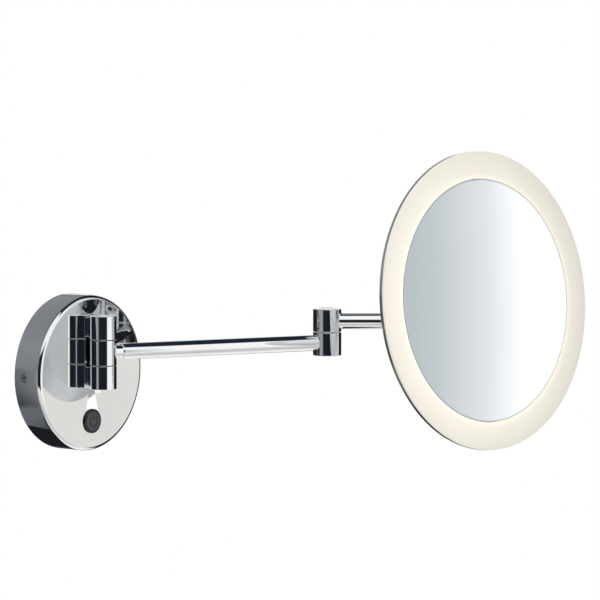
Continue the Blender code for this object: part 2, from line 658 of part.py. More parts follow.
def arm_tube(name, start, length, coped_ends, chrome, arm):
    """A drawn tube along -Y, cut to the shape of the round hubs that it meets."""
    outer, inner = TUBE_RADIUS, TUBE_RADIUS - TUBE_WALL
    profile = [(inner, -start), (outer - HUB_CHAMFER, -start), (outer, -start - HUB_CHAMFER)]
    profile += [(outer, -length), (inner, -length)]
    tube = piece(name, turned(profile, "Y", segments=TUBE), chrome, arm)
    for y in coped_ends:
        reach = 2 * TUBE_RADIUS
        cut(tube, rod(HUB_RADIUS + GAP, -reach, reach, "Z", (0, y, 0), MEDIUM))


def lower_hub(name, y, chrome, arm):
    """The lower half of a knuckle: bearing web on top, cavity for the nut and the lead below."""
    centre = (0, y, 0)
    body = rod(HUB_RADIUS, LOWER_BOTTOM, LOWER_TOP, "Z", centre, MEDIUM, HUB_CHAMFER)
    hub = piece(name, body, chrome, arm)
    spigot_end = y + HUB_RADIUS + SPIGOT_LENGTH
    spigot_start = y + CAVITY_RADIUS - OVERCUT
    add(hub, rod(SPIGOT_RADIUS, spigot_start, spigot_end, "Y", segments=TUBE, chamfer=HUB_CHAMFER))
    recess = LOWER_BOTTOM + CAP_RECESS
    wide = CAVITY_RADIUS + CAP_LEDGE
    bush = PIN_HOLE + BUSH_WALL
    steps = [(0, LOWER_BOTTOM - OVERCUT), (wide, LOWER_BOTTOM - OVERCUT), (wide, recess)]
    steps += [(CAVITY_RADIUS, recess), (CAVITY_RADIUS, WEB_UNDERSIDE)]
    steps += [(bush, WEB_UNDERSIDE), (bush, LOWER_TOP + OVERCUT)]
    steps += [(0, LOWER_TOP + OVERCUT)]
    cut(hub, turned(steps, "Z", centre, TUBE))
    cut(hub, rod(CHANNEL_RADIUS, y + CAVITY_RADIUS - OVERCUT, spigot_end + OVERCUT, "Y"))


def upper_hub(name, chrome, arm, *joined):
    """The upper half of a knuckle: pin floor below, cavity for the pin's head and the lead above."""
    body = rod(HUB_RADIUS, UPPER_BOTTOM, UPPER_TOP, "Z", (0, 0, 0), MEDIUM, HUB_CHAMFER)
    hub = piece(name, body, chrome, arm)
    add(hub, *joined)
    floor = UPPER_BOTTOM + HUB_FLOOR
    recess = UPPER_TOP - CAP_RECESS
    wide = CAVITY_RADIUS + CAP_LEDGE
    steps = [(0, UPPER_BOTTOM - OVERCUT), (PIN_HOLE, UPPER_BOTTOM - OVERCUT), (PIN_HOLE, floor)]
    steps += [(CAVITY_RADIUS, floor), (CAVITY_RADIUS, recess), (wide, recess), (wide, UPPER_TOP + OVERCUT)]
    steps += [(0, UPPER_TOP + OVERCUT)]
    cut(hub, turned(steps, "Z", (0, 0, 0), TUBE))
    return hub


def knuckle_pivot(name, upper_frame, lower_frame, lower_y, chrome, steel, nylon):
    """The pin, bush, spring washer, lock nut and caps of a two-part knuckle."""
    seat = UPPER_BOTTOM + HUB_FLOOR + GAP / 2
    shank_end = WEB_UNDERSIDE - GAP / 2 - ARM_RISE
    washer_top = shank_end - GAP / 2
    nut_top = washer_top - SPRING_WASHER - GAP
    thread_end = nut_top - NUT_THICKNESS - THREAD_END
    head = WASHER_RADIUS - 2 * GAP
    profile = [(PIN_BORE, thread_end), (THREAD_RADIUS, thread_end), (THREAD_RADIUS, shank_end)]
    profile += [(PIN_RADIUS, shank_end), (PIN_RADIUS, seat), (head, seat), (head, seat + PIN_HEAD)]
    profile += [(PIN_BORE, seat + PIN_HEAD)]
    piece(f"{name}_pin", turned(profile, segments=TUBE), steel, upper_frame)
    hole = THREAD_RADIUS + GAP
    washer = ring(hole, NUT_ACROSS / 2 + GAP, washer_top - SPRING_WASHER, washer_top, segments=TUBE)
    piece(f"{name}_spring_washer", washer, steel, upper_frame)
    shape = prism(hexagon(NUT_ACROSS), nut_top - NUT_THICKNESS, nut_top)
    nut = piece(f"{name}_nut", shape, steel, upper_frame)
    cut(nut, rod(hole, nut_top - NUT_THICKNESS - OVERCUT, nut_top + OVERCUT, segments=TUBE))
    cap = rod(CAVITY_RADIUS + CAP_LEDGE - GAP, UPPER_TOP - CAP_THICKNESS, UPPER_TOP, segments=TUBE)
    piece(f"{name}_cap_upper", cap, chrome, upper_frame)
    centre = (0, lower_y, 0)
    cap_ends = (LOWER_BOTTOM, LOWER_BOTTOM + CAP_THICKNESS)
    cap = rod(CAVITY_RADIUS + CAP_LEDGE - GAP, *cap_ends, "Z", centre, TUBE)
    piece(f"{name}_cap_lower", cap, chrome, lower_frame)
    sleeve = PIN_HOLE + BUSH_WALL - RUNNING_FIT
    flange = HUB_RADIUS - GAP
    bottom, under, top = WEB_UNDERSIDE + GAP / 2, LOWER_TOP + GAP / 2, LOWER_TOP + HUB_GAP - GAP / 2
    profile = [(PIN_HOLE, bottom), (sleeve, bottom), (sleeve, under), (flange, under), (flange, top)]
    profile += [(PIN_HOLE, top)]
    piece(f"{name}_bush", turned(profile, "Z", centre, TUBE), nylon, lower_frame)


def route_from_pin():
    """The lead up through a knuckle's hollow pin and over into the arm beyond it."""
    start = -ARM_RISE - LEAD_IN_NUT
    bends = [(-0.5, -0.6), (-2.4, 0.5), (-6, 0.3), (-12, 0)]
    return [(0, 0, start), (0, 0, -12 * MM), (0, 0, -3 * MM)] + [(0, y * MM, z * MM) for y, z in bends]


def route_to_pin(y):
    """The lead into a knuckle's lower cavity, round under the nut and up to the pin's end."""
    bends = [(16, 0), (10.6, -0.3), (8.7, -1.1), (7.5, -2.9), (6.4, -4.8), (4.0, -6.0), (1.6, -5.8)]
    bends += [(0.2, -5.2), (0, -4.2)]
    return [(0, y + out * MM, z * MM) for out, z in bends]


def inner_arm(chrome, wire, arm):
    inner_hub(chrome, arm)
    arm_tube("inner_tube", TUBE_START, INNER_ARM, [-INNER_ARM], chrome, arm)
    lower_hub("elbow_lower_hub", -INNER_ARM, chrome, arm)
    route = [(0, 0, -2.6 * MM), (0, -0.3 * MM, -1.1 * MM), (0, -1.7 * MM, -0.2 * MM), (0, -5 * MM, 0)]
    route += [(0, -20 * MM, 0), (0, -INNER_ARM / 2, 0)]
    lead("inner_lead", route + route_to_pin(-INNER_ARM), wire, arm)


def outer_arm(chrome, wire, arm):
    spigot_end = -(HUB_RADIUS + SPIGOT_LENGTH)
    spigot_start = OVERCUT - HUB_RADIUS
    spigot = rod(SPIGOT_RADIUS, spigot_end, spigot_start, "Y", segments=TUBE, chamfer=HUB_CHAMFER)
    hub = upper_hub("elbow_upper_hub", chrome, arm, spigot)
    cut(hub, rod(CHANNEL_RADIUS, spigot_end - OVERCUT, -CAVITY_RADIUS + OVERCUT, "Y"))
    arm_tube("outer_tube", 0, OUTER_ARM, [0, -OUTER_ARM], chrome, arm)
    lower_hub("head_lower_hub", -OUTER_ARM, chrome, arm)
    lead("outer_lead", route_from_pin() + route_to_pin(-OUTER_ARM), wire, arm)


# ---- head ------------------------------------------------------------------------------------


def head_upper_hub(chrome, steel, wire, head):
    """The head's hub, with the stub and barrel that carry the tilt hinge."""
    centre = (0, -TILT_REACH, 0)
    half = BARREL_WIDTH / 2
    stub = rod(STUB_RADIUS, -TILT_REACH, OVERCUT - HUB_RADIUS, "Y", segments=TUBE)
    barrel = rod(BARREL_RADIUS, -half, half, "X", centre, TUBE, HUB_CHAMFER)
    hub = upper_hub("head_upper_hub", chrome, head, stub, barrel)
    bore = LEAD_RADIUS + 2 * GAP
    cut(hub, rod(bore, -TILT_REACH, -CAVITY_RADIUS + OVERCUT, "Y"))
    slot_low = (-bore, -TILT_REACH - BARREL_RADIUS - OVERCUT, -LEAD_SLOT)
    cut(hub, block(slot_low, (bore, -TILT_REACH + 2 * GAP, LEAD_SLOT)))
    for side in (-1, 1):
        start, end = side * (half + OVERCUT), side * (half - TILT_SCREW_GRIP)
        cut(hub, rod(TILT_HOLE_RADIUS, start, end, "X", centre))
    lead("swivel_lead", route_from_pin() + [(0, -TILT_REACH + LEAD_TILT_GAP / 2, 0)], wire, head)
    tilt_screws(steel, head)


def tilt_screws(steel, head):
    """Shoulder screws in the barrel's two ends: the ears turn on them."""
    centre = (0, -TILT_REACH, 0)
    tip = BARREL_WIDTH / 2 - TILT_SCREW_GRIP + GAP
    seat = EAR_INNER + EAR_THICKNESS + GAP
    top = seat + TILT_HEAD_HEIGHT
    profile = [(0, tip), (TILT_SCREW_RADIUS, tip), (TILT_SCREW_RADIUS, seat), (TILT_HEAD_RADIUS, seat)]
    profile += [(TILT_HEAD_RADIUS, top - BUTTON_HEAD_EDGE)]
    profile += [(TILT_HEAD_RADIUS - BUTTON_HEAD_EDGE, top), (0, top)]
    for name, side in (("tilt_screw_left", -1), ("tilt_screw_right", 1)):
        screw = piece(name, turned([(r, side * h) for r, h in profile], "X", centre, SMALL), steel, head)
        floor = side * (top - TILT_SOCKET_DEPTH)
        cut(screw, prism(hexagon(TILT_SOCKET), floor, side * (top + OVERCUT), "X", centre))


def mirror_bracket(chrome, steel, nylon, mirror):
    """The round plate on the pan's back with two ears for the tilt hinge."""
    front = PAN_BACK_Y + GAP
    back = front + BRACKET_PLATE
    profile = [(PAN_HOLE_RADIUS, front), (BRACKET_RADIUS, front), (BRACKET_RADIUS, back - BRACKET_CHAMFER)]
    profile += [(BRACKET_RADIUS - BRACKET_CHAMFER, back), (PAN_HOLE_RADIUS, back)]
    bracket = piece("mirror_bracket", turned(profile, "Y", segments=MEDIUM), chrome, mirror)
    for side in (-1, 1):
        inner, outer = side * EAR_INNER, side * (EAR_INNER + EAR_THICKNESS)
        x_low, x_high = sorted((inner, outer))
        base = block((x_low, front + BRACKET_PLATE / 2, -BARREL_RADIUS), (x_high, 0, BARREL_RADIUS))
        add(bracket, base, rod(BARREL_RADIUS, inner, outer, "X", segments=TUBE))
        start, end = side * (EAR_INNER - OVERCUT), side * (EAR_INNER + EAR_THICKNESS + OVERCUT)
        cut(bracket, rod(TILT_HOLE_RADIUS, start, end, "X"))
        middle = side * (BARREL_WIDTH / 2 + EAR_GAP / 2)
        faces = (middle - TILT_WASHER / 2, middle + TILT_WASHER / 2)
        name = "tilt_washer_left" if side < 0 else "tilt_washer_right"
        piece(name, ring(TILT_HOLE_RADIUS, BARREL_RADIUS - GAP, *faces, "X", segments=SMALL), nylon, mirror)
    for number, (x, z) in enumerate(bracket_screw_places(), 1):
        hole = BRACKET_SCREW_RADIUS + GAP
        cut(bracket, rod(hole, front - OVERCUT, back + OVERCUT, "Y", (x, 0, z)))
        tip = CARRIER_BACK_Y + 2 * GAP
        pan_head_screw(f"bracket_screw_{number}", BRACKET_SCREW_RADIUS, tip, back + GAP, x, z, steel, mirror)


def bracket_screw_places():
    angles = [math.radians(45 + 90 * i) for i in range(4)]
    return [(BRACKET_SCREW_CIRCLE * math.cos(a), BRACKET_SCREW_CIRCLE * math.sin(a)) for a in angles]


def back_pan(chrome, mirror):
    """The pressed pan: flat back, sloping side and a short straight rim behind the diffuser's lip."""
    rim_back = HEAD_FRONT_Y + RIM_DEPTH
    inner_rim = HEAD_RADIUS - PAN_SHEET
    profile = [(PAN_HOLE_RADIUS, PAN_BACK_Y), (PAN_BACK_RADIUS, PAN_BACK_Y), (HEAD_RADIUS, rim_back)]
    profile += [(HEAD_RADIUS, PAN_FRONT_Y), (inner_rim, PAN_FRONT_Y), (inner_rim, rim_back - PAN_SHEET * 0.4)]
    profile += [(PAN_BACK_RADIUS - PAN_SHEET * 0.5, PAN_FLOOR_Y), (PAN_HOLE_RADIUS, PAN_FLOOR_Y)]
    pan = piece("back_pan", turned(profile, "Y", segments=LARGE), chrome, mirror)
    for x, z in bracket_screw_places():
        hole = BRACKET_SCREW_RADIUS + GAP
        cut(pan, rod(hole, PAN_FLOOR_Y - OVERCUT, PAN_BACK_Y + OVERCUT, "Y", (x, 0, z)))


def glass_carrier(grey_plastic, mirror):
    """The tray that the mirror glass is stuck to, screwed to the bracket through the pan."""
    ring_front = DIFFUSER_BACK_Y + GAP
    profile = [(0, CARRIER_FRONT_Y), (DIFFUSER_INNER, CARRIER_FRONT_Y), (DIFFUSER_INNER, ring_front)]
    profile += [(CARRIER_RADIUS, ring_front), (CARRIER_RADIUS, CARRIER_BACK_Y), (0, CARRIER_BACK_Y)]
    carrier = piece("glass_carrier", turned(profile, "Y", segments=LARGE), grey_plastic, mirror)
    for x, z in bracket_screw_places():
        centre = (x, 0, z)
        add(carrier, rod(BOSS_RADIUS, CARRIER_BACK_Y - CARRIER_SHEET / 2, PAN_FLOOR_Y - GAP, "Y", centre))
        hole = BRACKET_SCREW_RADIUS + GAP
        cut(carrier, rod(hole, CARRIER_BACK_Y + GAP, PAN_FLOOR_Y + OVERCUT, "Y", centre))


def led_ring(white, mirror):
    """The ring-shaped board with its LEDs as raised packages facing the diffuser."""
    inner = CARRIER_RADIUS + LED_BOARD_CLEARANCE
    outer = inner + LED_BOARD_WIDTH
    slope = (HEAD_DEPTH - RIM_DEPTH) / (HEAD_RADIUS - PAN_BACK_RADIUS)
    back = PAN_FLOOR_Y - slope * (outer - PAN_BACK_RADIUS + PAN_SHEET) - GAP
    front = back - LED_BOARD_THICKNESS
    board = piece("led_ring", ring(inner, outer, back, front, "Y", segments=LARGE), white, mirror)
    packages = bmesh.new()
    middle = (inner + outer) / 2
    half = LED_SIZE / 2
    for i in range(LED_COUNT):
        turn = Matrix.Rotation(2 * math.pi * i / LED_COUNT, 4, "Y")
        made = bmesh.ops.create_cube(packages, size=1.0)
        for vert in made["verts"]:
            x = middle + vert.co.x * 2 * half
            y = front - LED_HEIGHT + (vert.co.y + 0.5) * (LED_HEIGHT + LED_BOARD_THICKNESS / 2)
            vert.co = turn @ Vector((x, y, vert.co.z * 2 * half))
    add(board, packages)


def diffuser_ring(frosted, mirror):
    """The frosted ring: its lip covers the pan's rim and its inner part sits inside the pan."""
    inside = HEAD_RADIUS - PAN_SHEET - GAP
    lip_back = HEAD_FRONT_Y + DIFFUSER_LIP
    profile = [(DIFFUSER_INNER, HEAD_FRONT_Y), (HEAD_RADIUS - DIFFUSER_BEVEL, HEAD_FRONT_Y)]
    profile += [(HEAD_RADIUS, HEAD_FRONT_Y + DIFFUSER_BEVEL), (HEAD_RADIUS, lip_back), (inside, lip_back)]
    profile += [(inside, DIFFUSER_BACK_Y), (DIFFUSER_INNER, DIFFUSER_BACK_Y)]
    piece("diffuser_ring", turned(profile, "Y", segments=LARGE), frosted, mirror)


def mirror_lead(wire, mirror):
    """The lead from the tilt axis through the pan and up to the LED ring."""
    mid = (PAN_FLOOR_Y + CARRIER_BACK_Y) / 2
    route = [(0, -LEAD_TILT_GAP / 2, 0), (0, -4 * MM, 0), (0, PAN_BACK_Y, 0), (0, mid + 0.4 * MM, 1.6 * MM)]
    route += [(0, mid, 5 * MM), (0, mid, 50 * MM), (0, mid, CARRIER_RADIUS + LED_BOARD_CLEARANCE - GAP)]
    lead("mirror_lead", route, wire, mirror)


def mirror_head(paint, mirror):
    mirror_bracket(paint["chrome"], paint["steel"], paint["nylon"], mirror)
    back_pan(paint["chrome"], mirror)
    glass_carrier(paint["grey_plastic"], mirror)
    led_ring(paint["white_plastic"], mirror)
    pad_front = GLASS_BACK_Y + GAP
    pad = rod(PAD_RADIUS, pad_front, pad_front + PAD_THICKNESS, "Y", segments=LARGE)
    piece("glass_pad", pad, paint["foam"], mirror)
    glass = rod(GLASS_RADIUS, GLASS_FRONT_Y, GLASS_BACK_Y, "Y", segments=LARGE, chamfer=SMALL_CHAMFER)
    piece("mirror_glass", glass, paint["silvered_glass"], mirror)
    diffuser_ring(paint["frosted_acrylic"], mirror)
    mirror_lead(paint["lead_jacket"], mirror)


# ---- assembly --------------------------------------------------------------------------------


def clear_scene():
    for existing in list(bpy.data.objects):
        bpy.data.objects.remove(existing, do_unlink=True)


def finishes():
    """Each finish by name: its colour, roughness and metallic value."""
    values = {
        "chrome": ((0.82, 0.83, 0.84), 0.06, 1.0),
        "steel": ((0.55, 0.56, 0.58), 0.3, 1.0),
        "nylon": ((0.85, 0.85, 0.83), 0.5, 0.0),
        "black_plastic": ((0.06, 0.065, 0.07), 0.35, 0.0),
        "grey_plastic": ((0.55, 0.56, 0.57), 0.5, 0.0),
        "white_plastic": ((0.85, 0.85, 0.84), 0.45, 0.0),
        "foam": ((0.2, 0.2, 0.2), 0.9, 0.0),
        "frosted_acrylic": ((0.92, 0.91, 0.88), 0.5, 0.0),
        "silvered_glass": ((0.85, 0.88, 0.9), 0.02, 1.0),
        "lead_jacket": ((0.8, 0.8, 0.78), 0.5, 0.0),
    }
    return {name: finish(name, *value) for name, value in values.items()}


def main():
    clear_scene()
    paint = finishes()
    chrome, steel, nylon, wire = (paint[name] for name in ("chrome", "steel", "nylon", "lead_jacket"))

    arm = frame_at("wall_hinge_axis", (0, KNUCKLE_Y, KNUCKLE_Z), (0, 0, INNER_ARM_TURN))
    turn = OUTER_ARM_TURN - INNER_ARM_TURN
    outer = frame_at("elbow_axis", (0, -INNER_ARM, ARM_RISE), (0, 0, turn), arm)
    turn = MIRROR_TURN - OUTER_ARM_TURN
    head = frame_at("head_swivel_axis", (0, -OUTER_ARM, ARM_RISE), (0, 0, turn), outer)
    mirror = frame_at("mirror_tilt_axis", (0, -TILT_REACH, 0), (-MIRROR_TILT, 0, 0), head)
    button = frame_at("button_axis", (0, -ROSE_DEPTH, SWITCH_Z), (0, 0, 0))

    wall_plate(steel)
    rose_cover(chrome)
    cover_screws(steel)
    electrics(paint["white_plastic"], paint["grey_plastic"], wire)
    push_switch(paint["black_plastic"], button, steel, paint["grey_plastic"])
    wall_knuckle(chrome, steel, nylon)
    inner_arm(chrome, wire, arm)
    knuckle_pivot("elbow", outer, arm, -INNER_ARM, chrome, steel, nylon)
    outer_arm(chrome, wire, outer)
    knuckle_pivot("head", head, outer, -OUTER_ARM, chrome, steel, nylon)
    head_upper_hub(chrome, steel, wire, head)
    mirror_head(paint, mirror)


main()
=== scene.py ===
"""Looks of the extendable shaving mirror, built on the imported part's frame."""

import json
import math

import bmesh
import bpy
from mathutils import Matrix, Vector


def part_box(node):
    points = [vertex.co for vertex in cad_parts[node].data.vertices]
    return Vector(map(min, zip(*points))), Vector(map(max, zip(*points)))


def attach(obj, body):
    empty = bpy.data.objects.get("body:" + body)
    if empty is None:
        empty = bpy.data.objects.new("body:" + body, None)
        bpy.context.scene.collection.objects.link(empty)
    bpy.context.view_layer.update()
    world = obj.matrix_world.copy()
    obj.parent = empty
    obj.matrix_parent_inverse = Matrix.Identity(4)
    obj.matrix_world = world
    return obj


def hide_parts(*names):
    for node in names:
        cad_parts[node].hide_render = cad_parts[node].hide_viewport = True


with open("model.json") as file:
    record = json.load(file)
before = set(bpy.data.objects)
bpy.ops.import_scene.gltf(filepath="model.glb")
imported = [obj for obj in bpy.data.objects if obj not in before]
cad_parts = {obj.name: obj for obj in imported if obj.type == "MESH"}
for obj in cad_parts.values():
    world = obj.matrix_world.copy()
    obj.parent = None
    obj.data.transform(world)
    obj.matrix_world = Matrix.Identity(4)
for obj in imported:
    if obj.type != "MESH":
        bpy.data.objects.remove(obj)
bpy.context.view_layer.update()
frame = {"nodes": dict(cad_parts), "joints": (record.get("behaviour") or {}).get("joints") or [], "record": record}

MM = 0.001

# ---- sizes, the same as the part's -----------------------------------------------------------

ROSE_RADIUS = 58.7 * MM
ROSE_DEPTH = 25.0 * MM
ROSE_WALL = 1.8 * MM
ROSE_FACE = 2.5 * MM
ROSE_ROUNDING = 3.4 * MM
SET_SCREW_RADIUS = 3.2 * MM
SET_SCREW_DEPTH = 9.8 * MM
SET_SCREW_SOCKET = 3.0 * MM
SWITCH_Z = -36.4 * MM
BEZEL_RADIUS = 9.15 * MM
BEZEL_HEIGHT = 1.1 * MM
BEZEL_RING = 1.5 * MM
BARREL_TOP_RADIUS = 8.3 * MM
BUTTON_THICKNESS = 0.8 * MM
BUTTON_PROUD = 0.3 * MM
SYMBOL_RADIUS = 4.4 * MM
SYMBOL_LINE = 0.8 * MM
KNUCKLE_RADIUS = 10.2 * MM
KNUCKLE_HUB = 18.8 * MM
KNUCKLE_BRACKET = 17.65 * MM
KNUCKLE_GAP = 0.5 * MM
CAP_SURROUND = 2.2 * MM
POST_WIDTH = 9.0 * MM
POST_STEP = 1.5 * MM
TUBE_RADIUS = 6.075 * MM
NECK_LENGTH = 4.75 * MM
ARM_RISE = 16.4 * MM
HUB_RADIUS = 10.9 * MM
LOWER_HUB = 17.75 * MM
UPPER_HUB = 17.2 * MM
HUB_SEAM = 8.4 * MM
HUB_GAP = 0.8 * MM
HUB_WALL = 2.2 * MM
CAP_LEDGE = 0.6 * MM
TILT_REACH = 19.5 * MM
STUB_RADIUS = 4.4 * MM
BARREL_RADIUS = 5.0 * MM
BARREL_WIDTH = 16.0 * MM
EAR_GAP = 1.0 * MM
EAR_THICKNESS = 3.5 * MM
BRACKET_RADIUS = 23.0 * MM
BRACKET_PLATE = 2.2 * MM
TILT_TO_PAN = 8.5 * MM
HEAD_RADIUS = 114.0 * MM
HEAD_DEPTH = 14.0 * MM
RIM_DEPTH = 4.4 * MM
PAN_BACK_RADIUS = 97.0 * MM
PAN_SHEET = 1.1 * MM
PAN_HOLE_RADIUS = 4.0 * MM
GLASS_RADIUS = 92.7 * MM
GLASS_THICKNESS = 4.0 * MM
GLASS_RECESS = 0.5 * MM
DIFFUSER_THICKNESS = 3.0 * MM
DIFFUSER_LIP = 1.3 * MM
GAP = 0.3 * MM
SPIGOT_RADIUS = 4.9 * MM
MIRROR_TILT = math.radians(6.2)

FINE = 256
ROUND = 128
SMALL = 64

HEAD_FRONT_Y = -TILT_TO_PAN - HEAD_DEPTH
GLASS_FRONT_Y = HEAD_FRONT_Y + GLASS_RECESS
LOWER_TOP = HUB_SEAM - HUB_GAP / 2
LOWER_BOTTOM = LOWER_TOP - LOWER_HUB
UPPER_BOTTOM = HUB_SEAM + HUB_GAP / 2 - ARM_RISE
UPPER_TOP = UPPER_BOTTOM + UPPER_HUB

# ---- where the joints put each piece ---------------------------------------------------------

pivot = {joint["name"]: Vector(joint["pos_m"]) for joint in frame["joints"] if joint["type"] == "hinge"}


def heading(start, end):
    """The turn about Z that points -Y from one place to another."""
    way = end - start
    return math.atan2(way.x, -way.y)


def at(place, turn):
    return Matrix.Translation(place) @ Matrix.Rotation(turn, 4, "Z")


INNER_TURN = heading(pivot["wall_hinge"], pivot["elbow_hinge"])
OUTER_TURN = heading(pivot["elbow_hinge"], pivot["head_swivel_hinge"])
HEAD_TURN = heading(pivot["head_swivel_hinge"], pivot["head_tilt_hinge"])
INNER_LENGTH = (pivot["elbow_hinge"] - pivot["wall_hinge"]).to_2d().length
OUTER_LENGTH = (pivot["head_swivel_hinge"] - pivot["elbow_hinge"]).to_2d().length

WALL = Matrix.Identity(4)
KNUCKLE = Matrix.Translation(pivot["wall_hinge"])
INNER = at(pivot["wall_hinge"], INNER_TURN)
OUTER = at(pivot["elbow_hinge"], OUTER_TURN)
HEAD = at(pivot["head_swivel_hinge"], HEAD_TURN)
MIRROR = at(pivot["head_tilt_hinge"], HEAD_TURN) @ Matrix.Rotation(-MIRROR_TILT, 4, "X")

TO_AXIS = {
    "X": Matrix.Rotation(math.pi / 2, 4, "Y"),
    "Y": Matrix.Rotation(-math.pi / 2, 4, "X"),
    "Z": Matrix.Identity(4),
}

# ---- shapes ----------------------------------------------------------------------------------


def fillet(points, closed=False, steps=6):
    """Round a profile's corners: each point is (radius, height) or (radius, height, rounding)."""
    line = []
    count = len(points)
    for i, point in enumerate(points):
        rounding = point[2] if len(point) > 2 else 0.0
        here = Vector(point[:2])
        if rounding <= 0 or (not closed and i in (0, count - 1)):
            line.append(tuple(here))
            continue
        before = (Vector(points[i - 1][:2]) - here).normalized()
        after = (Vector(points[(i + 1) % count][:2]) - here).normalized()
        half = before.angle(after) / 2
        reach = rounding / math.tan(half)
        centre = here + (before + after).normalized() * (rounding / math.sin(half))
        start = here + before * reach - centre
        end = here + after * reach - centre
        sweep = start.angle(end)
        side = 1 if start.x * end.y - start.y * end.x > 0 else -1
        for step in range(steps + 1):
            turn = side * sweep * step / steps
            c, s = math.cos(turn), math.sin(turn)
            line.append((centre.x + start.x * c - start.y * s, centre.y + start.x * s + start.y * c))
    return line


def lathe(profile, axis="Z", centre=(0, 0, 0), segments=ROUND, closed=False):
    """Turn a profile about an axis; a profile that starts and ends on the axis makes a solid."""
    shape = bmesh.new()
    place = Matrix.Translation(centre) @ TO_AXIS[axis]
    rings = []
    for radius, height in profile:
        count = segments if radius > 1e-9 else 1
        ring = []
        for i in range(count):
            a = 2 * math.pi * i / count
            point = Vector((radius * math.cos(a), radius * math.sin(a), height))
            ring.append(shape.verts.new(place @ point))
        rings.append(ring)
    pairs = list(zip(rings, rings[1:]))
    if closed:
        pairs.append((rings[-1], rings[0]))
    for first, second in pairs:
        for i in range(segments):
            j = (i + 1) % segments
            corners = [first[i % len(first)], first[j % len(first)]]
            corners += [second[j % len(second)], second[i % len(second)]]
            corners = list(dict.fromkeys(corners))
            if len(corners) > 2:
                shape.faces.new(corners)
    bmesh.ops.recalc_face_normals(shape, faces=shape.faces)
    return shape


def extrusion(outline, start, end, axis="Z", centre=(0, 0, 0)):
    shape = bmesh.new()
    place = Matrix.Translation(centre) @ TO_AXIS[axis]
    low = [shape.verts.new(place @ Vector((u, v, start))) for u, v in outline]
    high = [shape.verts.new(place @ Vector((u, v, end))) for u, v in outline]
    shape.faces.new(low)
    shape.faces.new(high)
    for i in range(len(outline)):
        j = (i + 1) % len(outline)
        shape.faces.new((low[i], low[j], high[j], high[i]))
    bmesh.ops.recalc_face_normals(shape, faces=shape.faces)
    return shape


def box(low, high, rounding=0.0):
    """A box between two corners with rounded edges."""
    shape = bmesh.new()
    bmesh.ops.create_cube(shape, size=1.0)
    low, high = Vector(low), Vector(high)
    for vert in shape.verts:
        vert.co = Vector([low[k] + (vert.co[k] + 0.5) * (high[k] - low[k]) for k in range(3)])
    if rounding:
        bmesh.ops.bevel(shape, geom=list(shape.edges), offset=rounding, segments=4, profile=0.5,
                        affect="EDGES")
    return shape


def joined(*shapes):
    """Several shapes in one mesh."""
    whole = bmesh.new()
    for shape in shapes:
        part = bpy.data.meshes.new("part")
        shape.to_mesh(part)
        shape.free()
        whole.from_mesh(part)
        bpy.data.meshes.remove(part)
    return whole


def mesh_object(name, shape, place):
    mesh = bpy.data.meshes.new(name)
    shape.to_mesh(mesh)
    shape.free()
    made = bpy.data.objects.new(name, mesh)
    made.matrix_world = place
    bpy.context.scene.collection.objects.link(made)
    return made


def carve(made, *cutters):
    """Cut shapes out of a piece for good and leave no helper behind."""
    helpers = []
    for i, shape in enumerate(cutters):
        helper = mesh_object(f"{made.name}_cutter_{i}", shape, made.matrix_world.copy())
        modifier = made.modifiers.new(f"cut_{i}", "BOOLEAN")
        modifier.operation = "DIFFERENCE"
        modifier.solver = "EXACT"
        modifier.object = helper
        helpers.append(helper)
    bpy.context.view_layer.update()
    graph = bpy.context.evaluated_depsgraph_get()
    result = bpy.data.meshes.new_from_object(made.evaluated_get(graph))
    made.modifiers.clear()
    made.data = result
    for helper in helpers:
        bpy.data.objects.remove(helper, do_unlink=True)


def show(name, shape, place, body, material, stands_for=(), cutters=(), sharp=40):
    """A visible piece: its mesh, its finish, the body it moves with and the part's nodes it replaces."""
    made = mesh_object(name, shape, place)
    if cutters:
        carve(made, *cutters)
    made.data.transform(place)
    made.matrix_world = Matrix.Identity(4)
    made.data.materials.clear()
    made.data.materials.append(material)
    made.data.shade_smooth()
    made.data.set_sharp_from_angle(angle=math.radians(sharp))
    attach(made, body)
    if stands_for:
        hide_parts(*stands_for)
    return made


def hexagon(across_flats):
    radius = across_flats / 2 / math.cos(math.pi / 6)
    return [(radius * math.cos(math.pi * i / 3), radius * math.sin(math.pi * i / 3)) for i in range(6)]


# ---- finishes --------------------------------------------------------------------------------


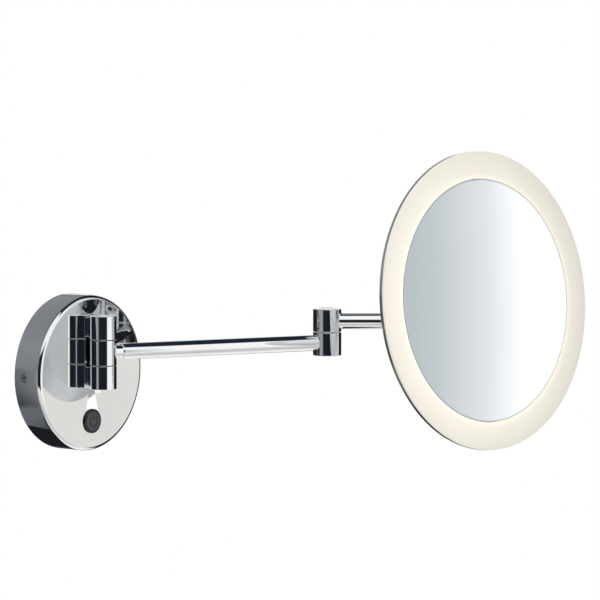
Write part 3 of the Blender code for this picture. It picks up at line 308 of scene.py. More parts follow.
class Nodes:
    """A small helper that adds and links shader nodes."""

    def __init__(self, tree):
        self.tree = tree

    def add(self, kind, values=None, **settings):
        node = self.tree.nodes.new(kind)
        for key, value in settings.items():
            setattr(node, key, value)
        for key, value in (values or {}).items():
            node.inputs[key].default_value = value
        return node

    def link(self, source, target):
        self.tree.links.new(source, target)

    def math(self, operation, *inputs):
        node = self.add("ShaderNodeMath", operation=operation)
        for socket, value in zip(node.inputs, inputs):
            if isinstance(value, (int, float)):
                socket.default_value = value
            else:
                self.link(value, socket)
        return node.outputs[0]

    def ramp(self, source, stops, interpolation="LINEAR"):
        """stops are (position, colour)."""
        node = self.add("ShaderNodeValToRGB")
        node.color_ramp.interpolation = interpolation
        elements = node.color_ramp.elements
        elements[0].position, elements[0].color = stops[0][0], (*stops[0][1], 1)
        elements[1].position, elements[1].color = stops[-1][0], (*stops[-1][1], 1)
        for position, color in stops[1:-1]:
            made = elements.new(position)
            made.color = (*color, 1)
        self.link(source, node.inputs[0])
        return node.outputs["Color"]

    def spread(self, source, low, high, to_low=0.0, to_high=1.0, smooth=False):
        node = self.add("ShaderNodeMapRange")
        if smooth:
            node.interpolation_type = "SMOOTHSTEP"
        for key, value in zip(("From Min", "From Max", "To Min", "To Max"), (low, high, to_low, to_high)):
            node.inputs[key].default_value = value
        self.link(source, node.inputs["Value"])
        return node.outputs["Result"]

    def product(self, *factors):
        result = factors[0]
        for factor in factors[1:]:
            result = self.math("MULTIPLY", result, factor)
        return result

    def window(self, source, rise, fall):
        """1 between two edges; rise and fall are each the start and end of a fade."""
        return self.product(self.spread(source, *rise), self.spread(source, *fall, 1.0, 0.0))

    def length(self, x, y):
        return self.math("SQRT", self.math("ADD", self.product(x, x), self.product(y, y)))

    def mix(self, factor, first, second, blend="MIX"):
        node = self.add("ShaderNodeMix", data_type="RGBA", blend_type=blend)
        for socket, value in ((node.inputs[0], factor), (node.inputs[6], first), (node.inputs[7], second)):
            if isinstance(value, tuple):
                socket.default_value = (*value, 1) if len(value) == 3 else value
            elif isinstance(value, (int, float)):
                socket.default_value = value
            else:
                self.link(value, socket)
        return node.outputs[2]


def mirror_coords(nodes):
    """Coordinates in the mirror head's own frame, with the tilt axis as origin and -Y out of the glass."""
    inverse = MIRROR.inverted()
    mapping = nodes.add("ShaderNodeMapping")
    mapping.inputs["Location"].default_value = inverse.translation
    mapping.inputs["Rotation"].default_value = inverse.to_euler("XYZ")
    nodes.link(nodes.add("ShaderNodeTexCoord").outputs["Object"], mapping.inputs["Vector"])
    return mapping.outputs["Vector"]


def material(name):
    made = bpy.data.materials.new(name)
    made.use_nodes = True
    nodes = Nodes(made.node_tree)
    return made, nodes, made.node_tree.nodes["Principled BSDF"]


def surface(name, dark, light, rough, metallic=0.0, grain=400.0, bump=0.02, depth=0.0001,
            stretch=(1, 1, 1)):
    """A finish whose colour, roughness and relief vary a little over the surface."""
    made, nodes, shader = material(name)
    coords = nodes.add("ShaderNodeTexCoord").outputs["Object"]
    mapping = nodes.add("ShaderNodeMapping")
    mapping.inputs["Scale"].default_value = stretch
    nodes.link(coords, mapping.inputs["Vector"])
    where = mapping.outputs["Vector"]
    broad = nodes.add("ShaderNodeTexNoise", {"Scale": grain * 0.06, "Detail": 3.0})
    fine = nodes.add("ShaderNodeTexNoise", {"Scale": grain, "Detail": 4.0, "Roughness": 0.6})
    nodes.link(where, broad.inputs["Vector"])
    nodes.link(where, fine.inputs["Vector"])
    blend = nodes.math("ADD", nodes.product(broad.outputs[0], 0.6), nodes.product(fine.outputs[0], 0.4))
    tone = nodes.ramp(nodes.spread(blend, 0.35, 0.65), [(0.0, dark), (1.0, light)])
    nodes.link(tone, shader.inputs["Base Color"])
    nodes.link(nodes.spread(blend, 0.3, 0.7, rough[0], rough[1]), shader.inputs["Roughness"])
    shader.inputs["Metallic"].default_value = metallic
    if bump:
        relief = nodes.add("ShaderNodeBump", {"Strength": bump, "Distance": depth})
        nodes.link(fine.outputs[0], relief.inputs["Height"])
        nodes.link(relief.outputs["Normal"], shader.inputs["Normal"])
    return made


def chrome_finish(name, haze_low, haze_high):
    """Plating with a faint bluish depth, a haze that varies a little and hardly visible wiping marks."""
    made, nodes, shader = material(name)
    coords = nodes.add("ShaderNodeTexCoord").outputs["Object"]
    broad = nodes.add("ShaderNodeTexNoise", {"Scale": 26.0, "Detail": 3.0})
    wipe = nodes.add("ShaderNodeTexNoise", {"Scale": 900.0, "Detail": 5.0, "Roughness": 0.65})
    nodes.link(coords, broad.inputs["Vector"])
    nodes.link(coords, wipe.inputs["Vector"])
    tints = [(0.0, (0.86, 0.875, 0.89)), (1.0, (0.93, 0.94, 0.945))]
    tone = nodes.ramp(nodes.spread(broad.outputs[0], 0.3, 0.7), tints)
    nodes.link(tone, shader.inputs["Base Color"])
    drift = nodes.spread(broad.outputs[0], 0.35, 0.7, haze_low, haze_high)
    haze = nodes.math("ADD", drift, nodes.spread(wipe.outputs[0], 0.4, 0.8, 0.0, 0.02))
    nodes.link(haze, shader.inputs["Roughness"])
    shader.inputs["Metallic"].default_value = 1.0
    relief = nodes.add("ShaderNodeBump", {"Strength": 0.006, "Distance": 0.00005})
    nodes.link(wipe.outputs[0], relief.inputs["Height"])
    nodes.link(relief.outputs["Normal"], shader.inputs["Normal"])
    return made


def glass_finish():
    """Silvered float glass: a clear coat over a bright back, with painted shade as a dark line round the edge,
    where the gap to the diffuser is.
    """
    made, nodes, shader = material("silvered_glass")
    coords = mirror_coords(nodes)
    parts = nodes.add("ShaderNodeSeparateXYZ")
    nodes.link(coords, parts.inputs[0])
    x, z = parts.outputs["X"], parts.outputs["Z"]
    radius = nodes.length(x, z)
    dust = nodes.add("ShaderNodeTexNoise", {"Scale": 1400.0, "Detail": 2.0})
    nodes.link(coords, dust.inputs["Vector"])
    tints = [(0.0, (0.955, 0.965, 0.97)), (1.0, (0.93, 0.945, 0.95))]
    clean = nodes.ramp(nodes.spread(dust.outputs[0], 0.3, 0.8), tints)
    # Painted shade: a dark, rougher ring just inside the glass edge stands for the shadow in the gap to the
    # diffuser.
    edge = nodes.spread(radius, GLASS_RADIUS - 1.5 * MM, GLASS_RADIUS - 0.5 * MM, smooth=True)
    nodes.link(nodes.mix(edge, clean, (0.50, 0.56, 0.56)), shader.inputs["Base Color"])
    nodes.link(nodes.spread(edge, 0.0, 1.0, 0.006, 0.12), shader.inputs["Roughness"])
    shader.inputs["Metallic"].default_value = 1.0
    shader.inputs["Coat Weight"].default_value = 0.3
    shader.inputs["Coat Roughness"].default_value = 0.01
    return made


def frosted_finish():
    """Frosted acrylic lit from behind: warm white, brightest beside the glass, fine matt grain; painted light
    makes the glow stronger on the left and towards the bottom.
    """
    made, nodes, shader = material("frosted_acrylic")
    coords = mirror_coords(nodes)
    parts = nodes.add("ShaderNodeSeparateXYZ")
    nodes.link(coords, parts.inputs[0])
    x, z = parts.outputs["X"], parts.outputs["Z"]
    radius = nodes.length(x, z)
    grain = nodes.add("ShaderNodeTexNoise", {"Scale": 2200.0, "Detail": 3.0})
    nodes.link(coords, grain.inputs["Vector"])
    cloud = nodes.add("ShaderNodeTexNoise", {"Scale": 30.0, "Detail": 2.0})
    nodes.link(coords, cloud.inputs["Vector"])
    shader.inputs["Metallic"].default_value = 0.0
    tint = nodes.ramp(cloud.outputs[0], [(0.3, (0.36, 0.355, 0.33)), (0.7, (0.39, 0.385, 0.36))])
    nodes.link(tint, shader.inputs["Base Color"])
    nodes.link(nodes.spread(grain.outputs[0], 0.3, 0.7, 0.42, 0.55), shader.inputs["Roughness"])
    outward = nodes.spread(radius, GLASS_RADIUS, HEAD_RADIUS)
    warm = [(0.0, (0.80, 0.745, 0.62)), (0.22, (0.64, 0.60, 0.515)), (1.0, (0.53, 0.495, 0.43))]
    glow = nodes.ramp(outward, warm)
    # Painted light: the glow is made stronger on the left side and a little stronger towards the bottom.
    side = nodes.spread(x, -HEAD_RADIUS, HEAD_RADIUS, 1.13, 0.84)
    height = nodes.spread(z, -HEAD_RADIUS, HEAD_RADIUS, 1.03, 0.97)
    nodes.link(glow, shader.inputs["Emission Color"])
    glow_level_with_painted_side_light = nodes.product(side, height, nodes.spread(grain.outputs[0], 0.0, 1.0, 0.985, 1.015))
    nodes.link(glow_level_with_painted_side_light, shader.inputs["Emission Strength"])
    relief = nodes.add("ShaderNodeBump", {"Strength": 0.05, "Distance": 0.00005})
    nodes.link(grain.outputs[0], relief.inputs["Height"])
    nodes.link(relief.outputs["Normal"], shader.inputs["Normal"])
    return made


CHROME = chrome_finish("chrome_plating", 0.012, 0.03)
SATIN = surface("satin_back", (0.74, 0.75, 0.76), (0.82, 0.83, 0.84), (0.28, 0.36), 0.25, 900, 0.03)
GLASS = glass_finish()
FROSTED = frosted_finish()
STEEL = surface("zinc_steel", (0.50, 0.51, 0.53), (0.66, 0.67, 0.68), (0.22, 0.38), 1.0, 700, 0.05)
NYLON = surface("natural_nylon", (0.78, 0.78, 0.75), (0.88, 0.88, 0.86), (0.42, 0.55), 0.0, 500, 0.04)
BLACK = surface("satin_charcoal", (0.006, 0.0065, 0.008), (0.011, 0.012, 0.014),
                (0.30, 0.42), 0.0, 1800, 0.06)
BUTTON = surface("button_charcoal", (0.066, 0.070, 0.080), (0.092, 0.098, 0.110),
                 (0.34, 0.46), 0.0, 1800, 0.06)
GREY = surface("grey_moulding", (0.48, 0.49, 0.50), (0.60, 0.61, 0.62), (0.42, 0.55), 0.0, 600, 0.05)
WHITE = surface("white_moulding", (0.80, 0.80, 0.79), (0.88, 0.88, 0.87), (0.38, 0.5), 0.0, 600, 0.05)
# Painted shade for the knuckle seams: a near-black finish for the flat faces inside them.
SEAM_SHADE = surface("seam_painted_shade", (0.020, 0.021, 0.023), (0.045, 0.046, 0.048),
                  (0.45, 0.6), 1.0, 900, 0.05)
FOAM = surface("foam_pad", (0.14, 0.14, 0.14), (0.26, 0.26, 0.26), (0.85, 0.95), 0.0, 1500, 0.4)
JACKET = surface("lead_jacket_finish", (0.72, 0.72, 0.70), (0.84, 0.84, 0.82), (0.42, 0.55), 0.0, 900, 0.05)
BOARD = surface("led_board_finish", (0.80, 0.80, 0.78), (0.88, 0.88, 0.86), (0.35, 0.5))

SLOT_FINISH = {
    "chrome": CHROME,
    "steel": STEEL,
    "nylon": NYLON,
    "black_plastic": BLACK,
    "grey_plastic": GREY,
    "white_plastic": WHITE,
    "led_board": BOARD,
    "foam": FOAM,
    "mirror_glass": GLASS,
    "frosted_diffuser": FROSTED,
    "lead_jacket": JACKET,
}

# ---- wall rose -------------------------------------------------------------------------------


def rose():
    inner = ROSE_RADIUS - ROSE_WALL
    back = -(ROSE_DEPTH - ROSE_FACE)
    points = [(0, -ROSE_DEPTH), (ROSE_RADIUS, -ROSE_DEPTH, ROSE_ROUNDING), (ROSE_RADIUS, 0, 0.3 * MM)]
    points += [(inner, 0, 0.3 * MM), (inner, back, 1.0 * MM), (0, back)]
    profile = fillet(points, steps=12)
    hole = BARREL_TOP_RADIUS + GAP
    cutters = [lathe([(0, -40 * MM), (hole, -40 * MM), (hole, -15 * MM), (0, -15 * MM)],
                     "Y", (0, 0, SWITCH_Z), SMALL)]
    for side in (-1, 1):
        low, high = sorted((side * (inner - 3 * MM), side * (ROSE_RADIUS + 3 * MM)))
        hole = SET_SCREW_RADIUS + GAP
        outline = [(0, low), (hole, low), (hole, high), (0, high)]
        cutters.append(lathe(outline, "X", (0, -SET_SCREW_DEPTH, 0), SMALL))
    show("rose_shell", lathe(profile, "Y", segments=FINE), WALL, "wall_unit", CHROME,
         ["rose_cover"], cutters, 30)


def set_screws():
    for node in ("cover_screw_left", "cover_screw_right"):
        low, high = (Vector(corner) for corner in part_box(node))
        side = -1 if low.x < 0 else 1
        tip, outer = sorted((low.x, high.x), key=abs)
        edge = 0.3 * MM
        points = [(0, tip), (SET_SCREW_RADIUS - edge, tip), (SET_SCREW_RADIUS, tip + side * edge)]
        pitch = 0.8 * MM
        turns = int((abs(outer - tip) - 2 * edge) / pitch)
        for i in range(turns):
            h = tip + side * (edge + pitch * i)
            points += [(SET_SCREW_RADIUS, h), (SET_SCREW_RADIUS - 0.3 * MM, h + side * pitch / 2)]
        points += [(SET_SCREW_RADIUS, outer - side * edge), (SET_SCREW_RADIUS - edge, outer), (0, outer)]
        socket = extrusion(hexagon(SET_SCREW_SOCKET), outer - side * 2.5 * MM, outer + side * MM, "X",
                           (0, -SET_SCREW_DEPTH, 0))
        shape = lathe(points, "X", (0, -SET_SCREW_DEPTH, 0), SMALL)
        show(f"set_screw_{'left' if side < 0 else 'right'}", shape, WALL, "wall_unit", STEEL,
             [node], [socket], 30)


def switch():
    seat = -ROSE_DEPTH - GAP
    front = seat - BEZEL_HEIGHT
    recess = BEZEL_RADIUS - BEZEL_RING
    inner_end = seat + 10.5 * MM
    floor = front - BUTTON_PROUD + BUTTON_THICKNESS + 1.1 * MM
    bore = 4.2 * MM
    points = [(bore, inner_end), (BARREL_TOP_RADIUS, inner_end, 0.3 * MM), (BARREL_TOP_RADIUS, seat)]
    points += [(BEZEL_RADIUS, seat, 0.15 * MM), (BEZEL_RADIUS, front, 0.3 * MM)]
    points += [(recess, front, 0.15 * MM), (recess, floor), (bore, floor)]
    centre = (0, 0, SWITCH_Z)
    show("switch_collar", lathe(fillet(points), "Y", centre, ROUND, closed=True), WALL, "wall_unit", BLACK,
         ["switch_bezel"])
    cap_front = front - BUTTON_PROUD
    cap_back = cap_front + BUTTON_THICKNESS
    radius = recess - 0.15 * MM
    stem = 3.9 * MM
    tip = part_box("switch_button")[1][1]
    points = [(0, cap_front), (radius, cap_front, 0.3 * MM), (radius, cap_back), (stem, cap_back)]
    points += [(stem, tip, 0.2 * MM), (0, tip)]
    outer, inner = SYMBOL_RADIUS, SYMBOL_RADIUS - SYMBOL_LINE
    angles = [math.radians(35 + 290 * i / 60) for i in range(61)]
    outline = [(outer * math.sin(a), -outer * math.cos(a)) for a in angles]
    outline += [(inner * math.sin(a), -inner * math.cos(a)) for a in reversed(angles)]
    depth = cap_front + 0.35 * MM
    ring = extrusion(outline, cap_front - MM, depth, "Y", centre)
    half = SYMBOL_LINE / 2
    bar = box((-half, cap_front - MM, SWITCH_Z + 0.3 * outer), (half, depth, SWITCH_Z + 1.15 * outer))
    cap = show("switch_cap", lathe(fillet(points), "Y", centre, ROUND), WALL, "button", BUTTON,
               ["switch_button"], [ring, bar])
    cap.data.materials.append(BLACK)
    for face in cap.data.polygons:
        if abs(face.center.y - depth) < 0.01 * MM and face.normal.y < -0.9:
            face.material_index = 1


# ---- knuckles and arms -----------------------------------------------------------------------


def drum(radius, low, high, centre=(0, 0, 0), edge=0.2 * MM, axis="Z"):
    points = [(0, low), (radius, low, edge), (radius, high, edge), (0, high)]
    return lathe(fillet(points), axis, centre)


def paint_seam_shade(made, place, *heights):
    """Painted shade in a knuckle's seams: the flat bearing faces inside them get a near-black finish in place of
    the plating.
    """
    made.data.materials.append(SEAM_SHADE)
    inverse = place.inverted()
    for face in made.data.polygons:
        height = (inverse @ face.center).z
        if abs(face.normal.z) > 0.9 and min(abs(height - h) for h in heights) < 0.02 * MM:
            face.material_index = 1


def capped_drum(radius, low, high, cap, top, centre=(0, 0, 0)):
    """A hub with the fine groove round its set-in cap on one end."""
    groove = 0.3 * MM
    deep = 1.2 * MM
    end, other = (high, low) if top else (low, high)
    way = -1 if top else 1
    points = [(0, other), (radius, other, 0.3 * MM), (radius, end, 0.3 * MM)]
    points += [(cap + groove, end, 0.1 * MM), (cap + groove, end + way * deep), (cap, end + way * deep)]
    points += [(cap, end, 0.12 * MM), (0, end)]
    return lathe(fillet(points), "Z", centre)


def wall_brackets():
    start = KNUCKLE_HUB / 2 + KNUCKLE_GAP
    cap = KNUCKLE_RADIUS - CAP_SURROUND
    reach = -ROSE_DEPTH - GAP - pivot["wall_hinge"].y
    for name, side in (("upper", 1), ("lower", -1)):
        ends = sorted((side * start, side * (start + KNUCKLE_BRACKET)))
        body = capped_drum(KNUCKLE_RADIUS, *ends, cap, side > 0)
        low, high = ends[0] + POST_STEP, ends[1] - POST_STEP
        post = box((-POST_WIDTH / 2, 0, low), (POST_WIDTH / 2, reach, high), 0.5 * MM)
        made = show(f"wall_bracket_{name}", joined(body, post), KNUCKLE, "wall_unit", CHROME,
                    [f"wall_knuckle_{name}", f"knuckle_cap_{name}"])
        paint_seam_shade(made, KNUCKLE, side * start)


def tube(start, end, edge=0.4 * MM):
    points = [(SPIGOT_RADIUS, -start), (TUBE_RADIUS, -start, edge), (TUBE_RADIUS, -end)]
    points += [(SPIGOT_RADIUS, -end)]
    return lathe(fillet(points, closed=True), "Y", segments=ROUND, closed=True)


def spigot(start, end):
    return drum(SPIGOT_RADIUS, *sorted((-start, -end)), edge=0.2 * MM, axis="Y")


def inner_arm():
    neck = KNUCKLE_RADIUS + NECK_LENGTH
    hub = drum(KNUCKLE_RADIUS, -KNUCKLE_HUB / 2, KNUCKLE_HUB / 2)
    hub = joined(hub, spigot(0.6 * KNUCKLE_RADIUS, neck + 12 * MM))
    made = show("inner_arm_hub", hub, INNER, "inner_arm", CHROME, ["inner_hub"])
    paint_seam_shade(made, INNER, KNUCKLE_HUB / 2, -KNUCKLE_HUB / 2)
    show("inner_arm_tube", tube(neck, INNER_LENGTH - HUB_RADIUS * 0.8), INNER, "inner_arm", CHROME,
         ["inner_tube"])
    lower_hub("elbow_lower_drum", INNER_LENGTH, INNER, "inner_arm", ["elbow_lower_hub", "elbow_cap_lower"])


def cap_radius():
    return HUB_RADIUS - HUB_WALL + CAP_LEDGE - GAP


def lower_hub(name, length, place, body, nodes):
    shape = capped_drum(HUB_RADIUS, LOWER_BOTTOM, LOWER_TOP, cap_radius(), False, (0, -length, 0))
    made = show(name, shape, place, body, CHROME, nodes)
    paint_seam_shade(made, place, LOWER_TOP)


def outer_arm():
    hub = capped_drum(HUB_RADIUS, UPPER_BOTTOM, UPPER_TOP, cap_radius(), True)
    made = show("elbow_upper_drum", hub, OUTER, "outer_arm", CHROME,
                ["elbow_upper_hub", "elbow_cap_upper"])
    paint_seam_shade(made, OUTER, UPPER_BOTTOM)
    outer_tube = tube(HUB_RADIUS * 0.8, OUTER_LENGTH - HUB_RADIUS * 0.8)
    show("outer_arm_tube", outer_tube, OUTER, "outer_arm", CHROME, ["outer_tube"])
    lower_hub("head_lower_drum", OUTER_LENGTH, OUTER, "outer_arm", ["head_lower_hub", "head_cap_lower"])


# ---- mirror head -----------------------------------------------------------------------------


def swivel_hub():
    hub = capped_drum(HUB_RADIUS, UPPER_BOTTOM, UPPER_TOP, cap_radius(), True)
    points = [(0, -TILT_REACH), (STUB_RADIUS, -TILT_REACH)]
    points += [(STUB_RADIUS, 0.6 * MM - HUB_RADIUS - 1.2 * MM, 0.5 * MM)]
    points += [(STUB_RADIUS + 1.0 * MM, 0.8 * MM - HUB_RADIUS), (0, 0.8 * MM - HUB_RADIUS)]
    stub = lathe(fillet(points), "Y", segments=SMALL)
    half = BARREL_WIDTH / 2
    barrel = drum(BARREL_RADIUS, -half, half, (0, -TILT_REACH, 0), axis="X")
    made = show("swivel_drum", joined(hub, stub, barrel), HEAD, "head_swivel", CHROME,
                ["head_upper_hub", "head_cap_upper"])
    paint_seam_shade(made, HEAD, UPPER_BOTTOM)


def pan():
    rim_back = HEAD_FRONT_Y + RIM_DEPTH
    front = HEAD_FRONT_Y + DIFFUSER_LIP + 0.3 * MM
    inner = HEAD_RADIUS - PAN_SHEET
    floor = -TILT_TO_PAN - PAN_SHEET
    points = [(PAN_HOLE_RADIUS, -TILT_TO_PAN), (PAN_BACK_RADIUS, -TILT_TO_PAN, 6 * MM)]
    points += [(HEAD_RADIUS, rim_back, 0.8 * MM), (HEAD_RADIUS, front, 0.3 * MM), (inner, front, 0.3 * MM)]
    points += [(inner, rim_back - 0.4 * MM, 0.8 * MM), (PAN_BACK_RADIUS - 0.5 * MM, floor, 5 * MM)]
    points += [(PAN_HOLE_RADIUS, floor)]
    shape = lathe(fillet(points, closed=True, steps=10), "Y", segments=FINE, closed=True)
    shell = show("pressed_pan", shape, MIRROR, "mirror_head", CHROME, ["back_pan"])
    shell.data.materials.append(SATIN)
    inverse = MIRROR.inverted()
    for face in shell.data.polygons:
        if (inverse @ face.center).y > rim_back + 0.6 * MM:
            face.material_index = 1


def bracket():
    front = -TILT_TO_PAN + GAP
    back = front + BRACKET_PLATE
    points = [(0, front), (BRACKET_RADIUS, front), (BRACKET_RADIUS, back, 0.7 * MM), (0, back)]
    plate = lathe(fillet(points), "Y", segments=ROUND)
    shapes = [plate]
    for side in (-1, 1):
        inner = side * (BARREL_WIDTH / 2 + EAR_GAP)
        low, high = sorted((inner, inner + side * EAR_THICKNESS))
        shapes.append(box((low, front + 0.4 * MM, -BARREL_RADIUS), (high, 0, BARREL_RADIUS), 0.0))
        shapes.append(drum(BARREL_RADIUS, low, high, axis="X", edge=0.2 * MM))
    show("tilt_bracket", joined(*shapes), MIRROR, "mirror_head", CHROME, ["mirror_bracket"])


def glass():
    back = GLASS_FRONT_Y + GLASS_THICKNESS
    points = [(0, GLASS_FRONT_Y), (GLASS_RADIUS, GLASS_FRONT_Y, 0.5 * MM)]
    points += [(GLASS_RADIUS, back, 0.3 * MM), (0, back)]
    disc = lathe(fillet(points), "Y", segments=FINE)
    show("glass_disc", disc, MIRROR, "mirror_head", GLASS, ["mirror_glass"])


def diffuser():
    inner = GLASS_RADIUS + GAP
    inside = HEAD_RADIUS - PAN_SHEET - GAP
    back = HEAD_FRONT_Y + DIFFUSER_THICKNESS
    lip = HEAD_FRONT_Y + DIFFUSER_LIP
    points = [(inner, HEAD_FRONT_Y, 0.25 * MM), (HEAD_RADIUS, HEAD_FRONT_Y, 0.9 * MM)]
    points += [(HEAD_RADIUS, lip, 0.1 * MM)]
    points += [(inside, lip), (inside, back), (inner, back)]
    show("frosted_ring", lathe(fillet(points, closed=True), "Y", segments=FINE, closed=True), MIRROR,
         "mirror_head", FROSTED, ["diffuser_ring"])


# ---- pieces shown as the part has them -------------------------------------------------------


def finish_kept_nodes():
    """Give each CAD piece that stays in view the finish of its slot in the record."""
    for part in frame["record"]["subparts"]:
        node = frame["nodes"][part["node"]]
        node.data.materials.clear()
        node.data.materials.append(SLOT_FINISH[part["material_slot"]])


# ---- studio ----------------------------------------------------------------------------------

VIEW_AZIMUTH = math.radians(-51.892)
VIEW_ELEVATION = math.radians(5.155)
VIEW_ROLL = math.radians(0.109)
VIEW_OFFSET = (-176.372 * MM, -53.443 * MM, 3000.0 * MM)
SENSOR = 36.0
FOCAL = 3967.5 / 600 * SENSOR


def camera():
    sin_a, cos_a = math.sin(VIEW_AZIMUTH), math.cos(VIEW_AZIMUTH)
    sin_e, cos_e = math.sin(VIEW_ELEVATION), math.cos(VIEW_ELEVATION)
    back = Vector((sin_a * cos_e, -cos_a * cos_e, sin_e))
    right = Vector((cos_a, sin_a, 0))
    up = back.cross(right)
    across = right * math.cos(VIEW_ROLL) + up * math.sin(VIEW_ROLL)
    above = up * math.cos(VIEW_ROLL) - right * math.sin(VIEW_ROLL)
    place = -VIEW_OFFSET[0] * across - VIEW_OFFSET[1] * above + VIEW_OFFSET[2] * back
    data = bpy.data.cameras.new("camera")
    data.lens = FOCAL
    data.sensor_width = SENSOR
    data.clip_start = 0.05
    data.clip_end = 50.0
    made = bpy.data.objects.new("camera", data)
    turn = Matrix((across, above, back)).transposed().to_4x4()
    made.matrix_world = Matrix.Translation(place) @ turn
    bpy.context.scene.collection.objects.link(made)
    bpy.context.scene.camera = made


FLAG_BLACK = (0.012, 0.013, 0.016)
FLAG_NAVY = (0.014, 0.018, 0.032)
SCREEN_WHITE = (1.0, 1.0, 1.0)
SCREEN_BEIGE = (0.80, 0.775, 0.745)
TABLE_WHITE = (0.95, 0.94, 0.93)
HORIZON_STOPS = [
    (-180, FLAG_BLACK), (-152, (0.02, 0.022, 0.026)), (-141, (0.09, 0.095, 0.10)),
    (-128, (0.21, 0.215, 0.225)), (-115, (0.33, 0.34, 0.355)), (-92, (0.34, 0.345, 0.36)),
    (-84, FLAG_NAVY), (-44, FLAG_BLACK), (-16, FLAG_NAVY), (-10, SCREEN_WHITE), (28, SCREEN_WHITE),
    (36, SCREEN_BEIGE), (54.5, SCREEN_BEIGE), (58, FLAG_BLACK), (180, FLAG_BLACK)]
WALL_STOPS = [
    (-90, FLAG_BLACK), (-56, (0.02, 0.023, 0.027)), (-46, (0.13, 0.14, 0.15)),
    (-10, (0.20, 0.205, 0.215)), (30, (0.25, 0.26, 0.275)), (60, (0.20, 0.21, 0.225)),
    (80, FLAG_NAVY), (90, FLAG_NAVY)]
TABLE_STOPS = [
    (-90, (0.80, 0.79, 0.78)), (-66, (0.80, 0.79, 0.78)), (-52, (0.52, 0.515, 0.51)),
    (-18, (0.86, 0.85, 0.84))]


def by_angle(nodes, source, reach, stops):
    """A ramp whose stops are in degrees, from -reach to reach."""
    placed = [((angle + reach) / (2 * reach), colour) for angle, colour in stops]
    return nodes.ramp(nodes.spread(source, -reach, reach), placed)


def wall_light(nodes, azimuth, elevation, horizon):
    """Light from behind the rose: a grey wall with a white screen and dark flags in front of it."""
    light = by_angle(nodes, elevation, 90, WALL_STOPS)
    edge = nodes.spread(azimuth, 112, 135, -36.0, -14.0)
    low = nodes.spread(nodes.math("SUBTRACT", elevation, edge), -3.0, 3.0, smooth=True)
    high = nodes.spread(elevation, 1.0, 5.0, 1.0, 0.0, smooth=True)
    light = nodes.mix(nodes.product(low, high), light, horizon)
    dark_top = nodes.product(nodes.window(azimuth, (60, 75), (122, 132)), nodes.spread(elevation, 24, 32))
    light = nodes.mix(dark_top, light, FLAG_NAVY)
    screen = nodes.product(nodes.window(azimuth, (96, 104), (122, 130)),
                           nodes.window(elevation, (1, 3), (24, 32)))
    light = nodes.mix(screen, light, SCREEN_WHITE)
    pool = nodes.product(nodes.window(azimuth, (116, 120), (136, 140)),
                         nodes.window(elevation, (0, 2), (8, 11)))
    return nodes.mix(pool, light, SCREEN_WHITE)


def room_light(nodes, azimuth, elevation, horizon):
    """Light from the room: bright at eye level, dark overhead, white above on the left."""
    light = nodes.mix(nodes.spread(elevation, 46.0, 54.0, smooth=True), horizon, FLAG_NAVY)
    sky = nodes.product(nodes.spread(azimuth, -6, 6, 1.0, 0.0), nodes.spread(elevation, 22, 32))
    return nodes.mix(sky, light, SCREEN_WHITE)


def add_table(nodes, azimuth, elevation, light):
    """The white table below, with a dark flag beyond its far end."""
    table = by_angle(nodes, elevation, 90, TABLE_STOPS)
    table = nodes.mix(nodes.spread(azimuth, 50, 62), table, TABLE_WHITE)
    shore = nodes.math("SUBTRACT", nodes.spread(azimuth, 50, 58, -16.0, -38.0), elevation)
    under = nodes.product(nodes.window(azimuth, (-100, -92), (129, 133)),
                          nodes.spread(shore, -2.0, 3.0, smooth=True))
    light = nodes.mix(under, light, table)
    dark_low = nodes.product(nodes.spread(azimuth, 131, 136), nodes.spread(elevation, -20, -12, 1.0, 0.0))
    return nodes.mix(dark_low, light, FLAG_BLACK)


def studio_world():
    """White room with dark flags: each direction's light depends on where it comes from."""
    world = bpy.data.worlds.new("studio")
    world.use_nodes = True
    bpy.context.scene.world = world
    nodes = Nodes(world.node_tree)
    shade = world.node_tree.nodes["Background"]
    parts = nodes.add("ShaderNodeSeparateXYZ")
    nodes.link(nodes.add("ShaderNodeTexCoord").outputs["Generated"], parts.inputs[0])
    x, y, z = parts.outputs
    to_degrees = 180 / math.pi
    azimuth = nodes.product(nodes.math("ARCTAN2", x, nodes.product(y, -1.0)), to_degrees)
    elevation = nodes.product(nodes.math("ARCSINE", z), to_degrees)
    horizon = by_angle(nodes, azimuth, 180, HORIZON_STOPS)
    wall_side = wall_light(nodes, azimuth, elevation, horizon)
    room_side = room_light(nodes, azimuth, elevation, horizon)
    light = nodes.mix(nodes.spread(y, -0.06, 0.06, smooth=True), room_side, wall_side)
    light = add_table(nodes, azimuth, elevation, light)
    path = nodes.add("ShaderNodeLightPath")
    light = nodes.mix(path.outputs["Is Camera Ray"], light, SCREEN_WHITE)
    nodes.link(light, shade.inputs["Color"])
    shade.inputs["Strength"].default_value = 1.0


def glowing(name, stops, axis="X", width=1.0):
    """A softbox surface whose light fades across it."""
    made = bpy.data.materials.new(name)
    made.use_nodes = True
    nodes = Nodes(made.node_tree)
    tree = made.node_tree
    tree.nodes.remove(tree.nodes["Principled BSDF"])
    glow = nodes.add("ShaderNodeEmission")
    coords = nodes.add("ShaderNodeTexCoord").outputs["Object"]
    parts = nodes.add("ShaderNodeSeparateXYZ")
    nodes.link(coords, parts.inputs[0])
    across = nodes.spread(parts.outputs[axis], -width / 2, width / 2)
    nodes.link(nodes.ramp(across, stops), glow.inputs["Color"])
    nodes.link(glow.outputs[0], tree.nodes["Material Output"].inputs["Surface"])
    return made


CARD_DISTANCE = 2.2
CARD_SIZE_AT_METRE = 0.56
CARD_MARGIN = 1.22
CARD_TURN = math.radians(-10)
CARD_STOPS = [
    (0.0, (0.52, 0.57, 0.585)), (0.16, (0.57, 0.62, 0.635)), (0.37, (0.71, 0.735, 0.765)),
    (0.53, (0.82, 0.84, 0.885)), (0.68, (1.0, 1.0, 1.03)), (0.78, (1.1, 1.1, 1.1)),
    (1.0, (1.1, 1.1, 1.1))]


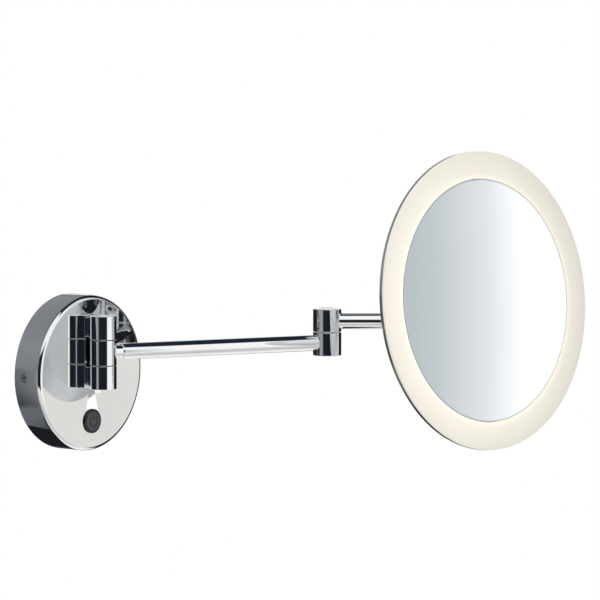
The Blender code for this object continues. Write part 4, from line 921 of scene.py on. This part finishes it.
def mirror_card():
    """A softbox in front of the mirror, fading to grey at one end, which the glass reflects."""
    normal = (MIRROR.to_3x3() @ Vector((0, -1, 0))).normalized()
    centre = MIRROR @ Vector((0, HEAD_FRONT_Y, 0))
    to_camera = bpy.context.scene.camera.matrix_world.translation - centre
    size = CARD_SIZE_AT_METRE * (to_camera.length + CARD_DISTANCE) / (to_camera.length + 1.0)
    to_camera.normalize()
    way = (2 * normal.dot(to_camera) * normal - to_camera).normalized()
    shape = bmesh.new()
    bmesh.ops.create_grid(shape, x_segments=1, y_segments=1, size=CARD_MARGIN * size / 2)
    turn = way.to_track_quat("Z", "Y").to_matrix().to_4x4() @ Matrix.Rotation(CARD_TURN, 4, "Z")
    place = Matrix.Translation(centre + way * CARD_DISTANCE)
    made = mesh_object("mirror_softbox", shape, place @ turn)
    made.data.materials.append(glowing("mirror_softbox_glow", CARD_STOPS, "X", size))
    made.visible_camera = False


def floor():
    made = mesh_object("floor", box((-1.5, -1.5, -0.92), (1.5, 1.5, -0.9)), Matrix.Identity(4))
    paint = surface("floor_paint", (0.78, 0.78, 0.77), (0.82, 0.82, 0.81), (0.6, 0.75), 0.0, 60, 0.02)
    made.data.materials.append(paint)
    made.visible_glossy = False


def softbox(name, place, aim, size, power):
    data = bpy.data.lights.new(name, "AREA")
    data.shape = "RECTANGLE"
    data.size, data.size_y = size
    data.energy = power
    made = bpy.data.objects.new(name, data)
    turn = (Vector(place) - Vector(aim)).to_track_quat("Z", "Y").to_matrix().to_4x4()
    made.matrix_world = Matrix.Translation(place) @ turn
    made.visible_glossy = False
    bpy.context.scene.collection.objects.link(made)


rose()
set_screws()
switch()
wall_brackets()
inner_arm()
outer_arm()
swivel_hub()
pan()
bracket()
glass()
diffuser()
finish_kept_nodes()
camera()
studio_world()
mirror_card()
floor()
softbox("overhead", (0.1, -0.5, 1.6), (0.1, -0.1, 0.0), (1.2, 1.2), 12.0)
softbox("wall_bounce", (0.25, 0.6, 0.3), (0.22, -0.2, 0.05), (1.0, 1.0), 9.0)
bpy.context.scene.view_settings.view_transform = "Standard"
